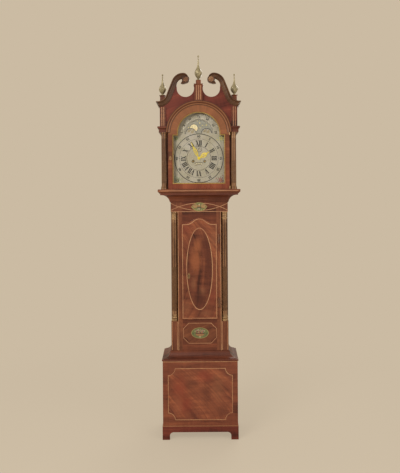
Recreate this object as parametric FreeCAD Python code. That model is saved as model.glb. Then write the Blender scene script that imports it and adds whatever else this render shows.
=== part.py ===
import FreeCAD, Part
import math
import os

V = FreeCAD.Vector
X_AXIS = V(1, 0, 0)
Y_AXIS = V(0, 1, 0)
Z_AXIS = V(0, 0, 1)
SIDES = (-1, 1)
HALF_TURN = 180
QUARTER_TURN = 90

# Longcase clock in a mahogany case, millimetres.
# Origin on the floor under the middle of the case, +X to the viewer's right, +Y to the wall, +Z up.

# Overall depth and the planes of the fronts, measured along Y
back_y = 135.0
cornice_front_y = -135.0
base_front_y = -120.0
waist_front_y = -66.0
overrun = 40.0
joint_gap = 0.3
run_gap = 0.25

# Boards
backboard_thickness = 15.0
side_thickness = 18.0
front_thickness = 20.0
inlay_proud = 0.6
string_width = 3.2

# Base: box, bead, cove and bracket feet
waist_half_width = 184.0
base_projection = 54.0
base_half_width = waist_half_width + base_projection
base_bottom_z = 84.0
base_top_z = 498.0
bead_height = 9.0
bead_proud = 5.0
cove_height = 43.0
cove_top_z = base_top_z + bead_height + cove_height
cove_fillet = 7.0
foot_width = 46.0
apron_bottom_z = 48.0
foot_curve = 24.0
skirt_thickness = 18.0
skirt_proud = 3.0
skirt_top_z = 88.0
base_string_inset = 33.0
base_string_top_inset = 46.0
base_string_bottom_inset = 40.0
base_string_corner = 44.0

# Waist: sides, stiles, rails, corner columns
cheek_top_z = 1690.0
notch = 44.0
column_radius = 18.0
column_bottom_z = 781.0
column_top_z = 1393.0
plinth_top_z = 738.0
capital_top_z = 1441.0
capital_radius = 21.5
flute_radius = 2.3
flute_count = 16
rod_radius = 1.5
stile_width = 30.0
door_opening_half = waist_half_width - notch - stile_width
door_opening_bottom_z = 756.0
door_opening_shoulder_z = 1362.0
frieze_line_z = 1442.5

# Waist door with its ogee head
door_lip_cover = 7.0
door_lip_drop = 6.0
door_lip_half = door_opening_half + door_lip_cover
door_lip_bottom_z = door_opening_bottom_z - door_lip_drop
door_lip_shoulder_z = door_opening_shoulder_z + door_lip_cover
door_lip_peak_z = 1405.0
door_lip_thickness = 6.0
door_lip_round = 3.0
door_body_thickness = 14.0
door_body_clearance = 2.0
ogee_flat = 26.0
door_string_inset = 7.0
oval_side_gap = 32.0
oval_half_width = door_lip_half - oval_side_gap
oval_half_height = 264.0
oval_centre_z = 1076.0
oval_line_width = 4.0
hinge_pin_radius = 3.0
hinge_height = 60.0
hinge_knuckle_radius = 5.5
hinge_leaf_thickness = 2.0
hinge_leaf_length = 12.0
hinge_low_z = 860.0
hinge_high_z = 1270.0
escutcheon_inset = 16.0
escutcheon_x = -(oval_half_width - escutcheon_inset)
escutcheon_z = 1030.0
escutcheon_half_width = 8.0
escutcheon_half_height = 19.0
escutcheon_thickness = 1.6
keyhole_radius = 2.6
keyhole_slot = 9.0
lock_width = 38.0
lock_height = 62.0
lock_thickness = 11.0
lock_edge_gap = 3.0
bolt_reach = 1.5
bolt_height = 20.0

# Ornament on frieze and lower panel
patera_half_width = 51.0
patera_half_height = 28.5
patera_z = 1475.0
oval_patera_half_width = 56.0
oval_patera_half_height = 35.0
oval_patera_z = 662.0
octagon_side_gap = 9.0
octagon_half_width = door_lip_half - octagon_side_gap
octagon_bottom_z = 594.0
octagon_top_z = 727.0
octagon_corner = 36.0

# Moulding under the hood, fixed to the waist
seat_cove_bottom_z = 1505.0
seat_cove_top_z = 1561.0
seat_fillet = 6.0
seat_overhang = 1.0

# Hood, built outwards from the dial's width
dial_half_width = 168.0
hood_side_clearance = 41.0
hood_side_thickness = 14.0
hood_side_x = dial_half_width + hood_side_clearance
frieze_projection = 23.0
frieze_half_width = hood_side_x + hood_side_thickness + frieze_projection
seat_moulding_proud = frieze_half_width + seat_overhang - waist_half_width
hood_rail_bottom_z = 1561.3
hood_rail_top_z = 1588.0
hood_rail_projection = 16.0
hood_rail_half_width = frieze_half_width + hood_rail_projection
hood_rail_front_y = -132.0
hood_rail_ledge = 19.0
hood_rail_inner_half = hood_side_x - hood_rail_ledge
hood_rail_depth = 48.0
hood_column_offset = 13.0
hood_column_x = hood_side_x + hood_column_offset
hood_column_y = -102.0
hood_column_radius = 16.0
hood_capital_radius = 20.0
hood_capital_height = 26.0
entablature_bottom_z = 1950.0
entablature_top_z = 1988.0
entablature_projection = 16.0
entablature_half_width = frieze_half_width + entablature_projection
entablature_front_y = -128.0
hood_door_front_y = -116.0
arch_centre_z = 1942.0
tympanum_front_y = -112.0
tympanum_thickness = 14.0
frieze_block_width = 38.0
frieze_block_proud = 5.0
cornice_top_z = 2146.0
roof_thickness = 9.0

# Swan-neck scrolls of the pediment
scroll_reach = 23.0
cornice_half_width = frieze_half_width + scroll_reach
scroll_foot_offset = 12.0
scroll_foot_x = frieze_half_width + scroll_foot_offset
scroll_line_angle = 68.0
scroll_head_radius = 74.0
scroll_head_x = 97.0
scroll_head_z = 2250.0
scroll_curl_radius = 34.5
scroll_width = 34.0
scroll_eye_x = 81.0
scroll_eye_z = 2286.0
scroll_eye_radius = 24.0
rosette_radius = 20.0
rosette_thickness = 7.0
bay_x = 82.5
bay_z = 2230.0
bay_radius = 55.0

# Plinths and finials
middle_plinth_half = 25.0
middle_plinth_top_z = 2256.0
middle_plinth_bottom_z = 2152.0
middle_block_half = 16.0
middle_block_top_z = 2280.0
plinth_cap_height = 7.0
plinth_cap_proud = 4.5
side_plinth_inset = 16.0
side_plinth_x = frieze_half_width - side_plinth_inset
side_plinth_half = 15.5
side_plinth_top_z = 2190.0
finial_bulb_radius = 25.0
finial_height = 160.0
side_finial_height = 137.0

# Hood door
hood_door_side_gap = 14.0
hood_door_half = hood_side_x - hood_door_side_gap
hood_door_foot_gap = 1.5
hood_door_bottom_z = hood_rail_top_z + hood_door_foot_gap
hood_door_shoulder_z = entablature_bottom_z - hood_door_foot_gap
hood_door_arch_inset = 14.0
hood_door_arch = hood_door_half - hood_door_arch_inset
arch_moulding_inner = hood_door_arch + hood_door_foot_gap
arch_moulding_width = 27.5
arch_moulding_outer = arch_moulding_inner + arch_moulding_width
hood_door_thickness = 18.0
hood_door_stile = 28.0
sight_half = hood_door_half - hood_door_stile
sight_bottom_z = 1623.0
sight_shoulder_z = 1936.0
sight_arch = 138.0
glass_thickness = 2.5
glass_rebate = 6.0
slip_width = 6.0
slip_thickness = 4.0

# Dial mask behind the hood door
mask_thickness = 8.0
mask_front_y = -90.0
mask_side_gap = 8.0
mask_half = hood_side_x - mask_side_gap
mask_reveal = 4.0
mask_sight_half = sight_half - mask_reveal
mask_sight_bottom_z = sight_bottom_z + mask_reveal
mask_sight_shoulder_z = sight_shoulder_z - mask_reveal
mask_sight_arch = 136.0
mask_top_z = 2100.0

# Dial
dial_centre_z = 1786.0
dial_front_y = -80.0
dial_thickness = 2.0
dial_bottom_z = 1620.0
dial_arch_centre_z = 1944.0
dial_shoulder_z = 1939.0
dial_arch_inset = 26.0
dial_arch_radius = dial_half_width - dial_arch_inset
moon_window_radius = 89.0
moon_hump_x = 50.0
moon_hump_radius = 36.0
moon_disc_radius = 94.0
disc_thickness = 1.0
date_disc_z = 1701.0
date_disc_radius = 60.0
date_slot_radius = 52.0
date_slot_height = 10.0
date_slot_angle = 25.0

# Movement frame and its arbors, places measured from the dial's centre
plate_half_width = 65.0
plate_bottom_z = 1708.0
plate_top_z = 1888.0
plate_thickness = 3.0
front_plate_y = -52.0
back_plate_y = 10.0
pillar_radius = 5.0
pillar_inset = 9.0
low_pillar_inset = 13.0
barrel_x = 37.0
barrel_dz = -19.0
barrel_drum_radius = 21.8
barrel_start_y = -39.0
barrel_end_y = -9.0
barrel_flange_radius = 26.0
barrel_flange_thickness = 2.0
line_radius = 0.8
arbor_radius = 2.0
pivot_radius = 1.1
pivot_clearance = 0.06
winding_square = 5.5
winding_arbor_radius = 4.0
winding_end_y = -84.0
seconds_dz = 60.0
anchor_dz = 88.0

# Wheels
great_teeth = 96
centre_pinion_leaves = 8
great_module = 0.8
centre_teeth = 64
third_pinion_leaves = 8
centre_module = 0.9
third_teeth = 60
escape_pinion_leaves = 8
third_module = 0.85
motion_teeth = 36
motion_module = 0.8
hour_teeth = 72
minute_pinion_leaves = 6
hour_module = 2 * motion_teeth * motion_module / (hour_teeth + minute_pinion_leaves)
wheel_thickness = 2.0
escape_teeth = 30
escape_radius = 17.0
strike_wheel_teeth = 84

# Weights, pulleys and lines
weight_radius = 26.0
weight_height = 200.0
weight_top_z = 1450.0
pulley_z = 1500.0
pulley_radius = 24.0
pulley_groove_radius = 21.8
pulley_thickness = 8.0
stirrup_thickness = 2.5

# Seatboard
seat_thickness = 18.0
seat_front_y = -62.0
seat_back_y = 26.0

# Pendulum
pendulum_y = 40.0
pendulum_length = 994.0
rod_width = 6.0
rod_thickness = 2.5
bob_radius = 54.0
bob_thickness = 26.0
crutch_length = 118.0

# Bell and hammer
bell_radius = 46.0
bell_height = 27.0
bell_wall = 2.5
bell_mouth_z = 1903.0
bell_y = -20.0


# Flute rods, gear teeth and spokes
rod_seat_gap = 0.25
tooth_tip_share = 0.8
tooth_root_share = 1.3
root_width_share = 0.235
tip_width_share = 0.085
spoke_half_width = 1.6

# Ogee heads
ogee_bow_share = 0.27
ogee_lift_share = 0.11

# Planes and widths that follow from the case
board_front = back_y - backboard_thickness
notch_x = waist_half_width - notch
notch_y = waist_front_y + notch
stile_back_y = waist_front_y + front_thickness
side_inner = waist_half_width - side_thickness
hood_outer = hood_side_x + hood_side_thickness
hood_rear = board_front - joint_gap
ledge_height = 12.0
wall_board = 18.0

# Cove over the base, corner columns
cove_bow_share = 0.3
column_margin = 3.7
stop_rod_share = 0.5
visible_flutes = (9, 10, 11, 12, 13, 14, 15)

# Plane of the weights and the line holes
weight_y = -18.0
line_hole_gap = 0.4

# Swan necks, tympanum and arch moulding
scroll_curl_sweep = 205.0
rosette_petals = 12
board_set_back = 2.0
arch_moulding_rise = 14.0
stile_clearance = 4.0
middle_plinth_proud = 16.0

# Pins and knuckles of the hood door
hood_pin_offset = 1.0
hood_pin_x = hood_door_half + hood_pin_offset
hood_pin_y = -117.0
hood_pin_radius = 2.0
knuckle_radius = 4.5
knuckle_height = 18.0

# Holes, posts and studs of the dial
hand_hole_radius = 7.0
winding_hole_radius = 5.5
stud_radius = 2.0
stud_head_radius = 4.5
stud_head_thickness = 1.2
dial_post_radius = 3.0
dial_post_x = 60.0
dial_post_low_z = 1735.0
dial_post_high_z = 1860.0
disc_y = -76.5

# Arbors, bridge and wheel planes of the movement
cannon_arbor_radius = 2.0
motion_dz = -motion_teeth * motion_module
minute_pinion_y0 = -73.0
minute_pinion_y1 = -68.0
bridge_thickness = 1.5
bridge_half = 33.0
bridge_width = 6.0
hammer_x = -44.0
hammer_dz = 64.0
great_y0, great_y1 = -44.0, -41.5
centre_pinion_y0, centre_pinion_y1 = -46.0, -40.0
centre_wheel_y0 = -4.0
third_wheel_y0 = -30.0
third_pinion_y0, third_pinion_y1 = -7.0, 1.0
escape_pinion_y0, escape_pinion_y1 = -32.0, -26.0
escape_y0 = 2.0
escape_thickness = 1.5
strike_wheel_y0 = -8.0
cannon_y0 = -62.0
hour_wheel_y0 = -72.0
cannon_pipe_radius = 3.6
hour_pipe_radius = 5.5
minute_hand_y = -89.0
hour_hand_y = -85.5
seconds_hand_y = -82.0
hand_thickness = 1.5
wheel_rim = 3.0
wheel_hub = 6.5

# Ratchet and click of the going barrel
ratchet_radius = 13.0
ratchet_teeth = 24
ratchet_y0, ratchet_y1 = -41.2, -39.5
click_offset = 4.0
click_radius = 1.6

# Hands
minute_hub = 7.5
minute_stem = 4.0
minute_leaf_start = 12.0
minute_leaf_end = 84.0
minute_leaf_width = 17.0
minute_tip = 118.0
hour_hub = 9.5
hour_stem = 4.5
hour_leaf_start = 12.0
hour_leaf_end = 60.0
hour_leaf_width = 22.0
hour_tip = 80.0
minute_angle = -25.8
hour_angle = 58.0
seconds_angle = 215.0
seconds_width = 1.4
seconds_length = 24.0
seconds_tail = 9.0
seconds_hub = 3.6

# Winding squares and lines
winding_length = 10.0
line_slack = 0.05

# Stirrups, back cock, crutch and anchor
stirrup_half = 6.0
stirrup_gap = 0.5
stirrup_stem = 12.0
stirrup_stem_radius = 3.0
cock_plate = 2.0
cock_half = 10.0
cock_drop = 8.0
crutch_y = 29.0
crutch_thickness = 2.0
crutch_width = 5.0
crutch_end_y = 43.0
fork_gap = 0.3
fork_thickness = 2.0
pallet_gap = 1.5
pallet_depth = 5.0
rod_tail = 26.0
nut_radius = 8.0
nut_height = 7.0

# Bell stand and hammer
bell_stem_radius = 3.0
bell_arm_x = 30.0
hammer_radius = 6.0
hammer_length = 12.0
hammer_gap = 1.5
hammer_y = -20.0
hammer_rod_radius = 1.5

solids_by_node = {}


def keep(name, *shapes):
    """Adds these solids to the node of that name."""
    found = solids_by_node.setdefault(name, [])
    for shape in shapes:
        found.extend(shape.Solids)


def box(x0, x1, y0, y1, z0, z1):
    return Part.makeBox(x1 - x0, y1 - y0, z1 - z0, V(x0, y0, z0))


def rod(x, z, y0, y1, radius):
    """A round bar along Y."""
    return Part.makeCylinder(radius, y1 - y0, V(x, y0, z), Y_AXIS)


def post(x, y, z0, z1, radius):
    """A round bar along Z."""
    return Part.makeCylinder(radius, z1 - z0, V(x, y, z0), Z_AXIS)


def square_bar(x, z, y0, y1, size):
    return box(x - size / 2, x + size / 2, y0, y1, z - size / 2, z + size / 2)


def upright(u, v):
    """A point of an outline drawn in the XZ plane."""
    return V(u, 0, v)


def plan(u, v):
    """A point of an outline drawn in the XY plane."""
    return V(u, v, 0)


def section(u, v):
    """A point of an outline drawn in the YZ plane."""
    return V(0, u, v)


def outline(place, start, *steps):
    """A closed wire. A step is an end point for a line, or (middle, end) for an arc."""
    edges = []
    here = place(*start)
    for step in steps:
        if isinstance(step[0], tuple):
            middle, there = place(*step[0]), place(*step[1])
            edges.append(Part.Arc(here, middle, there).toShape())
        else:
            there = place(*step)
            if there.distanceToPoint(here) > 1e-7:
                edges.append(Part.LineSegment(here, there).toShape())
        here = there
    first = place(*start)
    if here.distanceToPoint(first) > 1e-7:
        edges.append(Part.LineSegment(here, first).toShape())
    return Part.Wire(edges)


def panel(wire, y0, y1):
    """An upright outline made into a board from y0 to y1."""
    board = Part.Face(wire).extrude(V(0, y1 - y0, 0))
    board.translate(V(0, y0, 0))
    return board


def turned(x, y, z, *profile):
    """A turning about a vertical axis. The profile is (radius, height) steps from the axis back to it."""
    wire = outline(upright, *profile)
    shape = Part.Face(wire).revolve(V(0, 0, 0), Z_AXIS, 360)
    shape.translate(V(x, y, z))
    return shape


def mirrored(shape):
    return shape.mirror(V(0, 0, 0), X_AXIS)


def both(shape):
    """The piece and its twin on the other side."""
    return [shape, mirrored(shape)]


def arc_point(cx, cz, radius, degrees):
    angle = math.radians(degrees)
    return (cx + radius * math.cos(angle), cz + radius * math.sin(angle))


def ellipse(x, z, half_width, half_height):
    """An upright oval wire."""
    if half_width >= half_height:
        curve = Part.Ellipse(V(0, 0, 0), half_width, half_height).toShape()
    else:
        curve = Part.Ellipse(V(0, 0, 0), half_height, half_width).toShape()
        curve.rotate(V(0, 0, 0), Z_AXIS, QUARTER_TURN)
    curve.rotate(V(0, 0, 0), X_AXIS, QUARTER_TURN)
    curve.translate(V(x, 0, z))
    return Part.Wire(curve)


def mitred_frame(profile, half_width, front, rear):
    """Three lengths of one moulding round a case: the front and two returns, mitred at the corners.
    The profile is (outward, height) steps, outward counted from the faces at half_width and front."""
    front_wire = outline(lambda u, v: V(0, front - u, v), *profile)
    side_wire = outline(lambda u, v: V(half_width + u, 0, v), *profile)
    reach = side_wire.BoundBox.XMax - half_width + overrun
    front_bar = Part.Face(front_wire).extrude(V(2 * (half_width + reach), 0, 0))
    front_bar.translate(V(-half_width - reach, 0, 0))
    side_bar = Part.Face(side_wire).extrude(V(0, rear - front + reach, 0))
    side_bar.translate(V(0, front - reach, 0))
    heights = [e.BoundBox for e in (front_bar, side_bar)]
    low = min(b.ZMin for b in heights) - overrun
    tall = max(b.ZMax for b in heights) + overrun - low
    keep_front = Part.Face(outline(plan, (-half_width - reach, front - reach),
                                   (half_width + reach, front - reach),
                                   (half_width - reach, front + reach), (-half_width + reach, front + reach)))
    keep_side = Part.Face(outline(plan, (half_width + reach, front - reach), (half_width + reach, rear),
                                  (half_width - reach, rear), (half_width - reach, front + reach)))
    front_cut, side_cut = [f.extrude(V(0, 0, tall)) for f in (keep_front, keep_side)]
    for cut in (front_cut, side_cut):
        cut.translate(V(0, 0, low))
    side_piece = side_bar.common(side_cut)
    return [front_bar.common(front_cut), side_piece, mirrored(side_piece)]


def fluted_shaft(x, y, z0, z1, radius, count, flute, stop, turn=0.0):
    """A round shaft with hollow flutes that end short of both ends."""
    shaft = post(x, y, z0, z1, radius)
    cuts = []
    for i in range(count):
        angle = math.radians(turn) + 2 * math.pi * i / count
        cx, cy = x + radius * math.cos(angle), y + radius * math.sin(angle)
        cuts.append(post(cx, cy, z0 + stop, z1 - stop, flute))
    return shaft.cut(cuts)


def flute_rods(x, y, z0, z1, radius, count, size, angles, turn=0.0):
    """Thin brass rods laid in those flutes, at the numbered ones."""
    rods = []
    for i in angles:
        angle = math.radians(turn) + 2 * math.pi * i / count
        seat = radius - flute_radius + size + rod_seat_gap
        rods.append(post(x + seat * math.cos(angle), y + seat * math.sin(angle), z0, z1, size))
    return rods


def gear(teeth, module, y0, y1, x, z, bore, phase=0.0, spokes=0, rim=0.0, hub=0.0):
    """A spur wheel on a Y axis. phase is the direction, in degrees from +X towards +Z, of one tooth."""
    pitch = teeth * module / 2
    tip = pitch + tooth_tip_share * module
    root = pitch - tooth_root_share * module
    step = 2 * math.pi / teeth
    points = []
    for i in range(teeth):
        middle = math.radians(phase) + i * step
        for radius, half_share in ((root, -root_width_share), (tip, -tip_width_share),
                                   (tip, tip_width_share), (root, root_width_share)):
            angle = middle + half_share * step
            points.append((radius * math.cos(angle), radius * math.sin(angle)))
    blank = panel(outline(upright, points[0], *points[1:]), y0, y1)
    cuts = []
    if bore:
        cuts.append(rod(0, 0, y0 - overrun, y1 + overrun, bore))
    if spokes:
        cuts += crossings(root - rim, hub, spokes, y0, y1)
    wheel = blank.cut(cuts) if cuts else blank
    wheel.translate(V(x, 0, z))
    return wheel


def crossings(outer, inner, spokes, y0, y1):
    """The openings between the spokes of a wheel centred on the origin."""
    half = math.degrees(math.asin(spoke_half_width / inner)) if inner > spoke_half_width else 30.0
    far = math.degrees(math.asin(spoke_half_width / outer))
    found = []
    for i in range(spokes):
        a0, a1 = 360.0 * i / spokes, 360.0 * (i + 1) / spokes
        middle = (a0 + a1) / 2
        wire = outline(upright, arc_point(0, 0, outer, a0 + far),
                       (arc_point(0, 0, outer, middle), arc_point(0, 0, outer, a1 - far)),
                       arc_point(0, 0, inner, a1 - half),
                       (arc_point(0, 0, inner, middle), arc_point(0, 0, inner, a0 + half)))
        found.append(panel(wire, y0 - run_gap, y1 + run_gap))
    return found


def tombstone(half, bottom, shoulder, arch, arch_z):
    """The outline of a break-arch door, dial or opening."""
    spring = math.sqrt(arch * arch - (shoulder - arch_z) ** 2) if shoulder > arch_z else arch
    knee = max(shoulder, arch_z)
    return outline(upright, (-half, bottom), (half, bottom), (half, shoulder), (spring, shoulder),
                   (spring, knee),
                   ((0, arch_z + arch), (-spring, knee)), (-spring, shoulder), (-half, shoulder))


def ogee_head(half, bottom, shoulder, peak, flat):
    """The outline of the waist door: flat shoulders rising through two curves each to a rounded peak."""
    mid_x = (half - flat) / 2
    mid_z = (shoulder + peak) / 2
    quarter = (half - flat) * ogee_bow_share
    lift = (peak - shoulder) * ogee_lift_share
    low_x, low_z = mid_x + quarter, shoulder + lift
    high_x, high_z = mid_x - quarter, peak - lift
    return outline(upright, (-half, bottom), (half, bottom), (half, shoulder), (half - flat, shoulder),
                   ((low_x, low_z), (mid_x, mid_z)), ((high_x, high_z), (0, peak)),
                   ((-high_x, high_z), (-mid_x, mid_z)), ((-low_x, low_z), (-half + flat, shoulder)),
                   (-half, shoulder))


def ribbon(wire_outer, wire_inner, y0, y1):
    """What lies between two upright outlines."""
    return panel(wire_outer, y0, y1).cut(panel(wire_inner, y0 - overrun, y1 + overrun))


# Sizes worked out from the named ones


def backboard():
    wire = outline(upright, (-base_half_width, base_bottom_z), (base_half_width, base_bottom_z),
                   (base_half_width, base_top_z), (waist_half_width, base_top_z),
                   (waist_half_width, hood_rail_top_z), (hood_outer, hood_rail_top_z),
                   (hood_outer, mask_top_z),
                   (-hood_outer, mask_top_z), (-hood_outer, hood_rail_top_z),
                   (-waist_half_width, hood_rail_top_z), (-waist_half_width, base_top_z),
                   (-base_half_width, base_top_z))
    keep("backboard", panel(wire, board_front, back_y))


def base():
    front_back = base_front_y + front_thickness
    inner = base_half_width - side_thickness
    front = box(-base_half_width, base_half_width, base_front_y, front_back, base_bottom_z, base_top_z)
    side = box(inner, base_half_width, front_back, board_front, base_bottom_z, base_top_z)
    floor = box(-inner, inner, front_back, board_front, base_bottom_z, base_bottom_z + ledge_height)
    ledge = box(-inner, inner, front_back, board_front, base_top_z - ledge_height, base_top_z)
    ledge = ledge.cut(box(-side_inner, side_inner, stile_back_y, board_front + overrun,
                          base_bottom_z, base_top_z + overrun))
    keep("base_panels", front, *both(side), floor, ledge)

    # Bead on the base and cove up to the waist
    reach = base_half_width - waist_half_width
    bead_top = base_top_z + bead_height
    outer = reach + bead_proud
    middle = bead_height / 2
    cove_low = (reach - cove_fillet, bead_top + cove_fillet / 2)
    cove_high = (cove_fillet, cove_top_z - cove_fillet)
    bow = (cove_high[0] + (cove_low[0] - cove_high[0]) * cove_bow_share,
           cove_low[1] + (cove_high[1] - cove_low[1]) * cove_bow_share)
    profile = ((0, base_top_z), (reach, base_top_z), ((reach + bead_proud, base_top_z + middle),
                                                      (reach, bead_top)),
               (cove_low[0], bead_top), cove_low, (bow, cove_high), (cove_high[0], cove_top_z),
               (0, cove_top_z))
    keep("base_moulding", *mitred_frame(profile, waist_half_width, waist_front_y, back_y))


def feet():
    front_y = base_front_y - skirt_proud
    outer = base_half_width + skirt_proud
    core = box(-base_half_width, base_half_width, base_front_y, back_y, base_bottom_z, skirt_top_z + overrun)
    inner = outer - foot_width
    step = foot_curve
    knee = step * math.sqrt(0.5)
    front = outline(upright, (-outer, 0), (-inner, 0), (-inner, apron_bottom_z - step),
                    ((-inner + step - knee, apron_bottom_z - step + knee), (-inner + step, apron_bottom_z)),
                    (inner - step, apron_bottom_z),
                    ((inner - step + knee, apron_bottom_z - step + knee), (inner, apron_bottom_z - step)),
                    (inner, 0), (outer, 0), (outer, skirt_top_z), (-outer, skirt_top_z))
    front_board = panel(front, front_y, front_y + skirt_thickness)
    near, far = front_y + foot_width, back_y - foot_width
    side_wire = outline(section, (front_y, 0), (near, 0), (near, apron_bottom_z - step),
                        ((near + step - knee, apron_bottom_z - step + knee), (near + step, apron_bottom_z)),
                        (far - step, apron_bottom_z),
                        ((far - step + knee, apron_bottom_z - step + knee), (far, apron_bottom_z - step)),
                        (far, 0), (back_y, 0), (back_y, skirt_top_z), (front_y, skirt_top_z))
    side_board = Part.Face(side_wire).extrude(V(skirt_thickness, 0, 0))
    side_board.translate(V(outer - skirt_thickness, 0, 0))
    block = box(outer - skirt_thickness - ledge_height, outer - skirt_thickness, front_y + skirt_thickness,
                front_y + skirt_thickness + ledge_height, 0, base_bottom_z)
    whole = front_board.fuse(both(side_board) + both(block)).cut(core)
    keep("bracket_feet", whole.removeSplitter())


def waist():
    top = seat_cove_top_z
    side = box(side_inner, waist_half_width, notch_y, board_front, base_top_z, top)
    cheek = box(side_inner, waist_half_width, notch_y, board_front, top, cheek_top_z)
    keep("waist_sides", *both(side.fuse(cheek).removeSplitter()))

    stile = box(door_opening_half, notch_x, waist_front_y, stile_back_y, base_top_z, top)
    fin = box(notch_x - wall_board, notch_x, stile_back_y, notch_y + wall_board, base_top_z, top)
    back = box(notch_x, side_inner, notch_y, notch_y + wall_board, base_top_z, top)
    keep("waist_stiles", *both(stile.fuse([fin, back]).removeSplitter()))

    low = box(-door_opening_half, door_opening_half, waist_front_y, stile_back_y, base_top_z,
              door_opening_bottom_z)
    margin = door_lip_half - door_opening_half
    opening = panel(ogee_head(door_opening_half, door_opening_bottom_z, door_opening_shoulder_z,
                              door_lip_peak_z - margin, ogee_flat), waist_front_y - overrun,
                              stile_back_y + overrun)
    high = box(-door_opening_half, door_opening_half, waist_front_y, stile_back_y, door_opening_shoulder_z,
               top)
    keep("waist_rails", low, high.cut(opening))

    # Blocks above and below the corner columns
    low_block = box(notch_x, waist_half_width, waist_front_y, notch_y, base_top_z, plinth_top_z)
    high_block = box(notch_x, waist_half_width, waist_front_y, notch_y, capital_top_z, top)
    keep("waist_stiles", *both(low_block), *both(high_block))


def corner_columns():
    x = notch_x + column_radius + column_margin
    y = notch_y - column_radius - column_margin
    shaft = fluted_shaft(x, y, column_bottom_z, column_top_z, column_radius, flute_count, flute_radius,
                         capital_radius)
    keep("quarter_columns", *both(shaft))
    rods = flute_rods(x, y, column_bottom_z + capital_radius,
                      column_bottom_z + (column_top_z - column_bottom_z) *
                      stop_rod_share, column_radius, flute_count, rod_radius, visible_flutes)
    base_height = column_bottom_z - plinth_top_z
    cap_height = capital_top_z - column_top_z
    r, w = column_radius, capital_radius
    torus = base_height / 6
    foot = turned(x, y, plinth_top_z, (0, 0), (w, 0), (w, 2 * torus),
                  (w - torus, 2 * torus), ((w, 3 * torus), (w - torus, 4 * torus)),
                  (r, 4 * torus), (r, 6 * torus), (0, 6 * torus))
    ring = cap_height / 8
    head = turned(x, y, column_top_z, (0, 0), (r, 0), (r, ring), ((r + ring / 2, 1.5 * ring), (r, 2 * ring)),
                  (r - run_gap, 2 * ring), (r - run_gap, 5 * ring),
                  ((r + ring / 8, 6.4 * ring), (w, 7 * ring)),
                  (w, 8 * ring), (0, 8 * ring))
    keep("quarter_column_brass", *both(foot), *both(head))
    for r_ in rods:
        keep("quarter_column_brass", *both(r_))


def waist_door():
    lip_back = waist_front_y - joint_gap
    lip_front = lip_back - door_lip_thickness
    lip_wire = ogee_head(door_lip_half, door_lip_bottom_z, door_lip_shoulder_z, door_lip_peak_z, ogee_flat)
    lip = panel(lip_wire, lip_front, lip_back)
    front_edges = [e for e in lip.Edges if e.BoundBox.YMax < lip_front + joint_gap]
    try:
        lip = lip.makeFillet(door_lip_round, front_edges)
    except Part.OCCError:
        print("door lip left square")
    margin = door_lip_half - door_opening_half + door_body_clearance
    body = panel(ogee_head(door_lip_half - margin, door_lip_bottom_z + margin, door_lip_shoulder_z - margin,
                           door_lip_peak_z - margin - door_body_clearance, ogee_flat),
                 lip_back, lip_back + door_body_thickness)
    key = rod(escutcheon_x, escutcheon_z + keyhole_slot / 3, lip_front - overrun, stile_back_y + overrun,
              keyhole_radius)
    slot = box(escutcheon_x - keyhole_radius / 2, escutcheon_x + keyhole_radius / 2, lip_front - overrun,
               stile_back_y + overrun, escutcheon_z - keyhole_slot, escutcheon_z)
    keep("waist_door", lip.fuse(body).cut([key, slot]).removeSplitter())

    # Light line round the door, then the oval line
    inset = door_string_inset
    face = lip_front - inlay_proud
    rim = [ogee_head(door_lip_half - i, door_lip_bottom_z + i, door_lip_shoulder_z - i, door_lip_peak_z - i,
                     ogee_flat) for i in (inset, inset + string_width)]
    keep("waist_door_inlay", ribbon(rim[0], rim[1], face, lip_front))
    oval = [ellipse(0, oval_centre_z, oval_half_width - i, oval_half_height - i) for i in (0,
                                                                                           oval_line_width)]
    plate = ellipse(escutcheon_x, escutcheon_z, escutcheon_half_width, escutcheon_half_height)
    keep("waist_door_inlay", ribbon(oval[0], oval[1], face, lip_front).cut(
        panel(plate, face - overrun, lip_front + overrun)))
    keep("waist_door_lock",
         panel(plate, lip_front - escutcheon_thickness, lip_front).cut([key, slot]))

    # Lock on the back of the door, its bolt drawn back so that the door can swing
    back = lip_back + door_body_thickness
    edge = -(door_lip_half - margin) + lock_edge_gap
    case = box(edge, edge + lock_width, back, back + lock_thickness, escutcheon_z - lock_height / 2,
               escutcheon_z + lock_height / 2).cut([key, slot])
    bolt = box(edge - bolt_reach, edge, back + lock_thickness / 4, back + lock_thickness * 3 / 4,
               escutcheon_z - bolt_height / 2, escutcheon_z + bolt_height / 2)
    keep("waist_door_lock", case.fuse(bolt).removeSplitter())


def waist_hinges():
    lip_back = waist_front_y - joint_gap
    lip_front = lip_back - door_lip_thickness
    x = door_lip_half + joint_gap + hinge_knuckle_radius
    y = lip_front
    third = hinge_height / 3
    for z in (hinge_low_z, hinge_high_z):
        low = z - hinge_height / 2
        keep("waist_hinge_pins", hinge_case_half(x, y, low, third))
        for start in (low, low + 2 * third):
            knuckle = post(x, y, start, start + third - run_gap, hinge_knuckle_radius)
            leaf = box(door_lip_half, door_lip_half + hinge_leaf_thickness, lip_front, lip_back,
                       start, start + third - run_gap)
            bore = post(x, y, start - overrun, start + overrun, hinge_pin_radius + pivot_clearance)
            keep("waist_door_hinges", knuckle.fuse(leaf).cut(bore).removeSplitter())


def hinge_case_half(x, y, low, third):
    knuckle = post(x, y, low + third, low + 2 * third - run_gap, hinge_knuckle_radius)
    pin = post(x, y, low, low + 3 * third, hinge_pin_radius)
    leaf = box(x, x + hinge_leaf_length, waist_front_y - hinge_leaf_thickness, waist_front_y, low + third,
               low + 2 * third - run_gap)
    leaf = leaf.cut(box(notch_x, notch_x + overrun, y - overrun, waist_front_y, low, low + 3 * third))
    return knuckle.fuse([pin, leaf]).removeSplitter()


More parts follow.
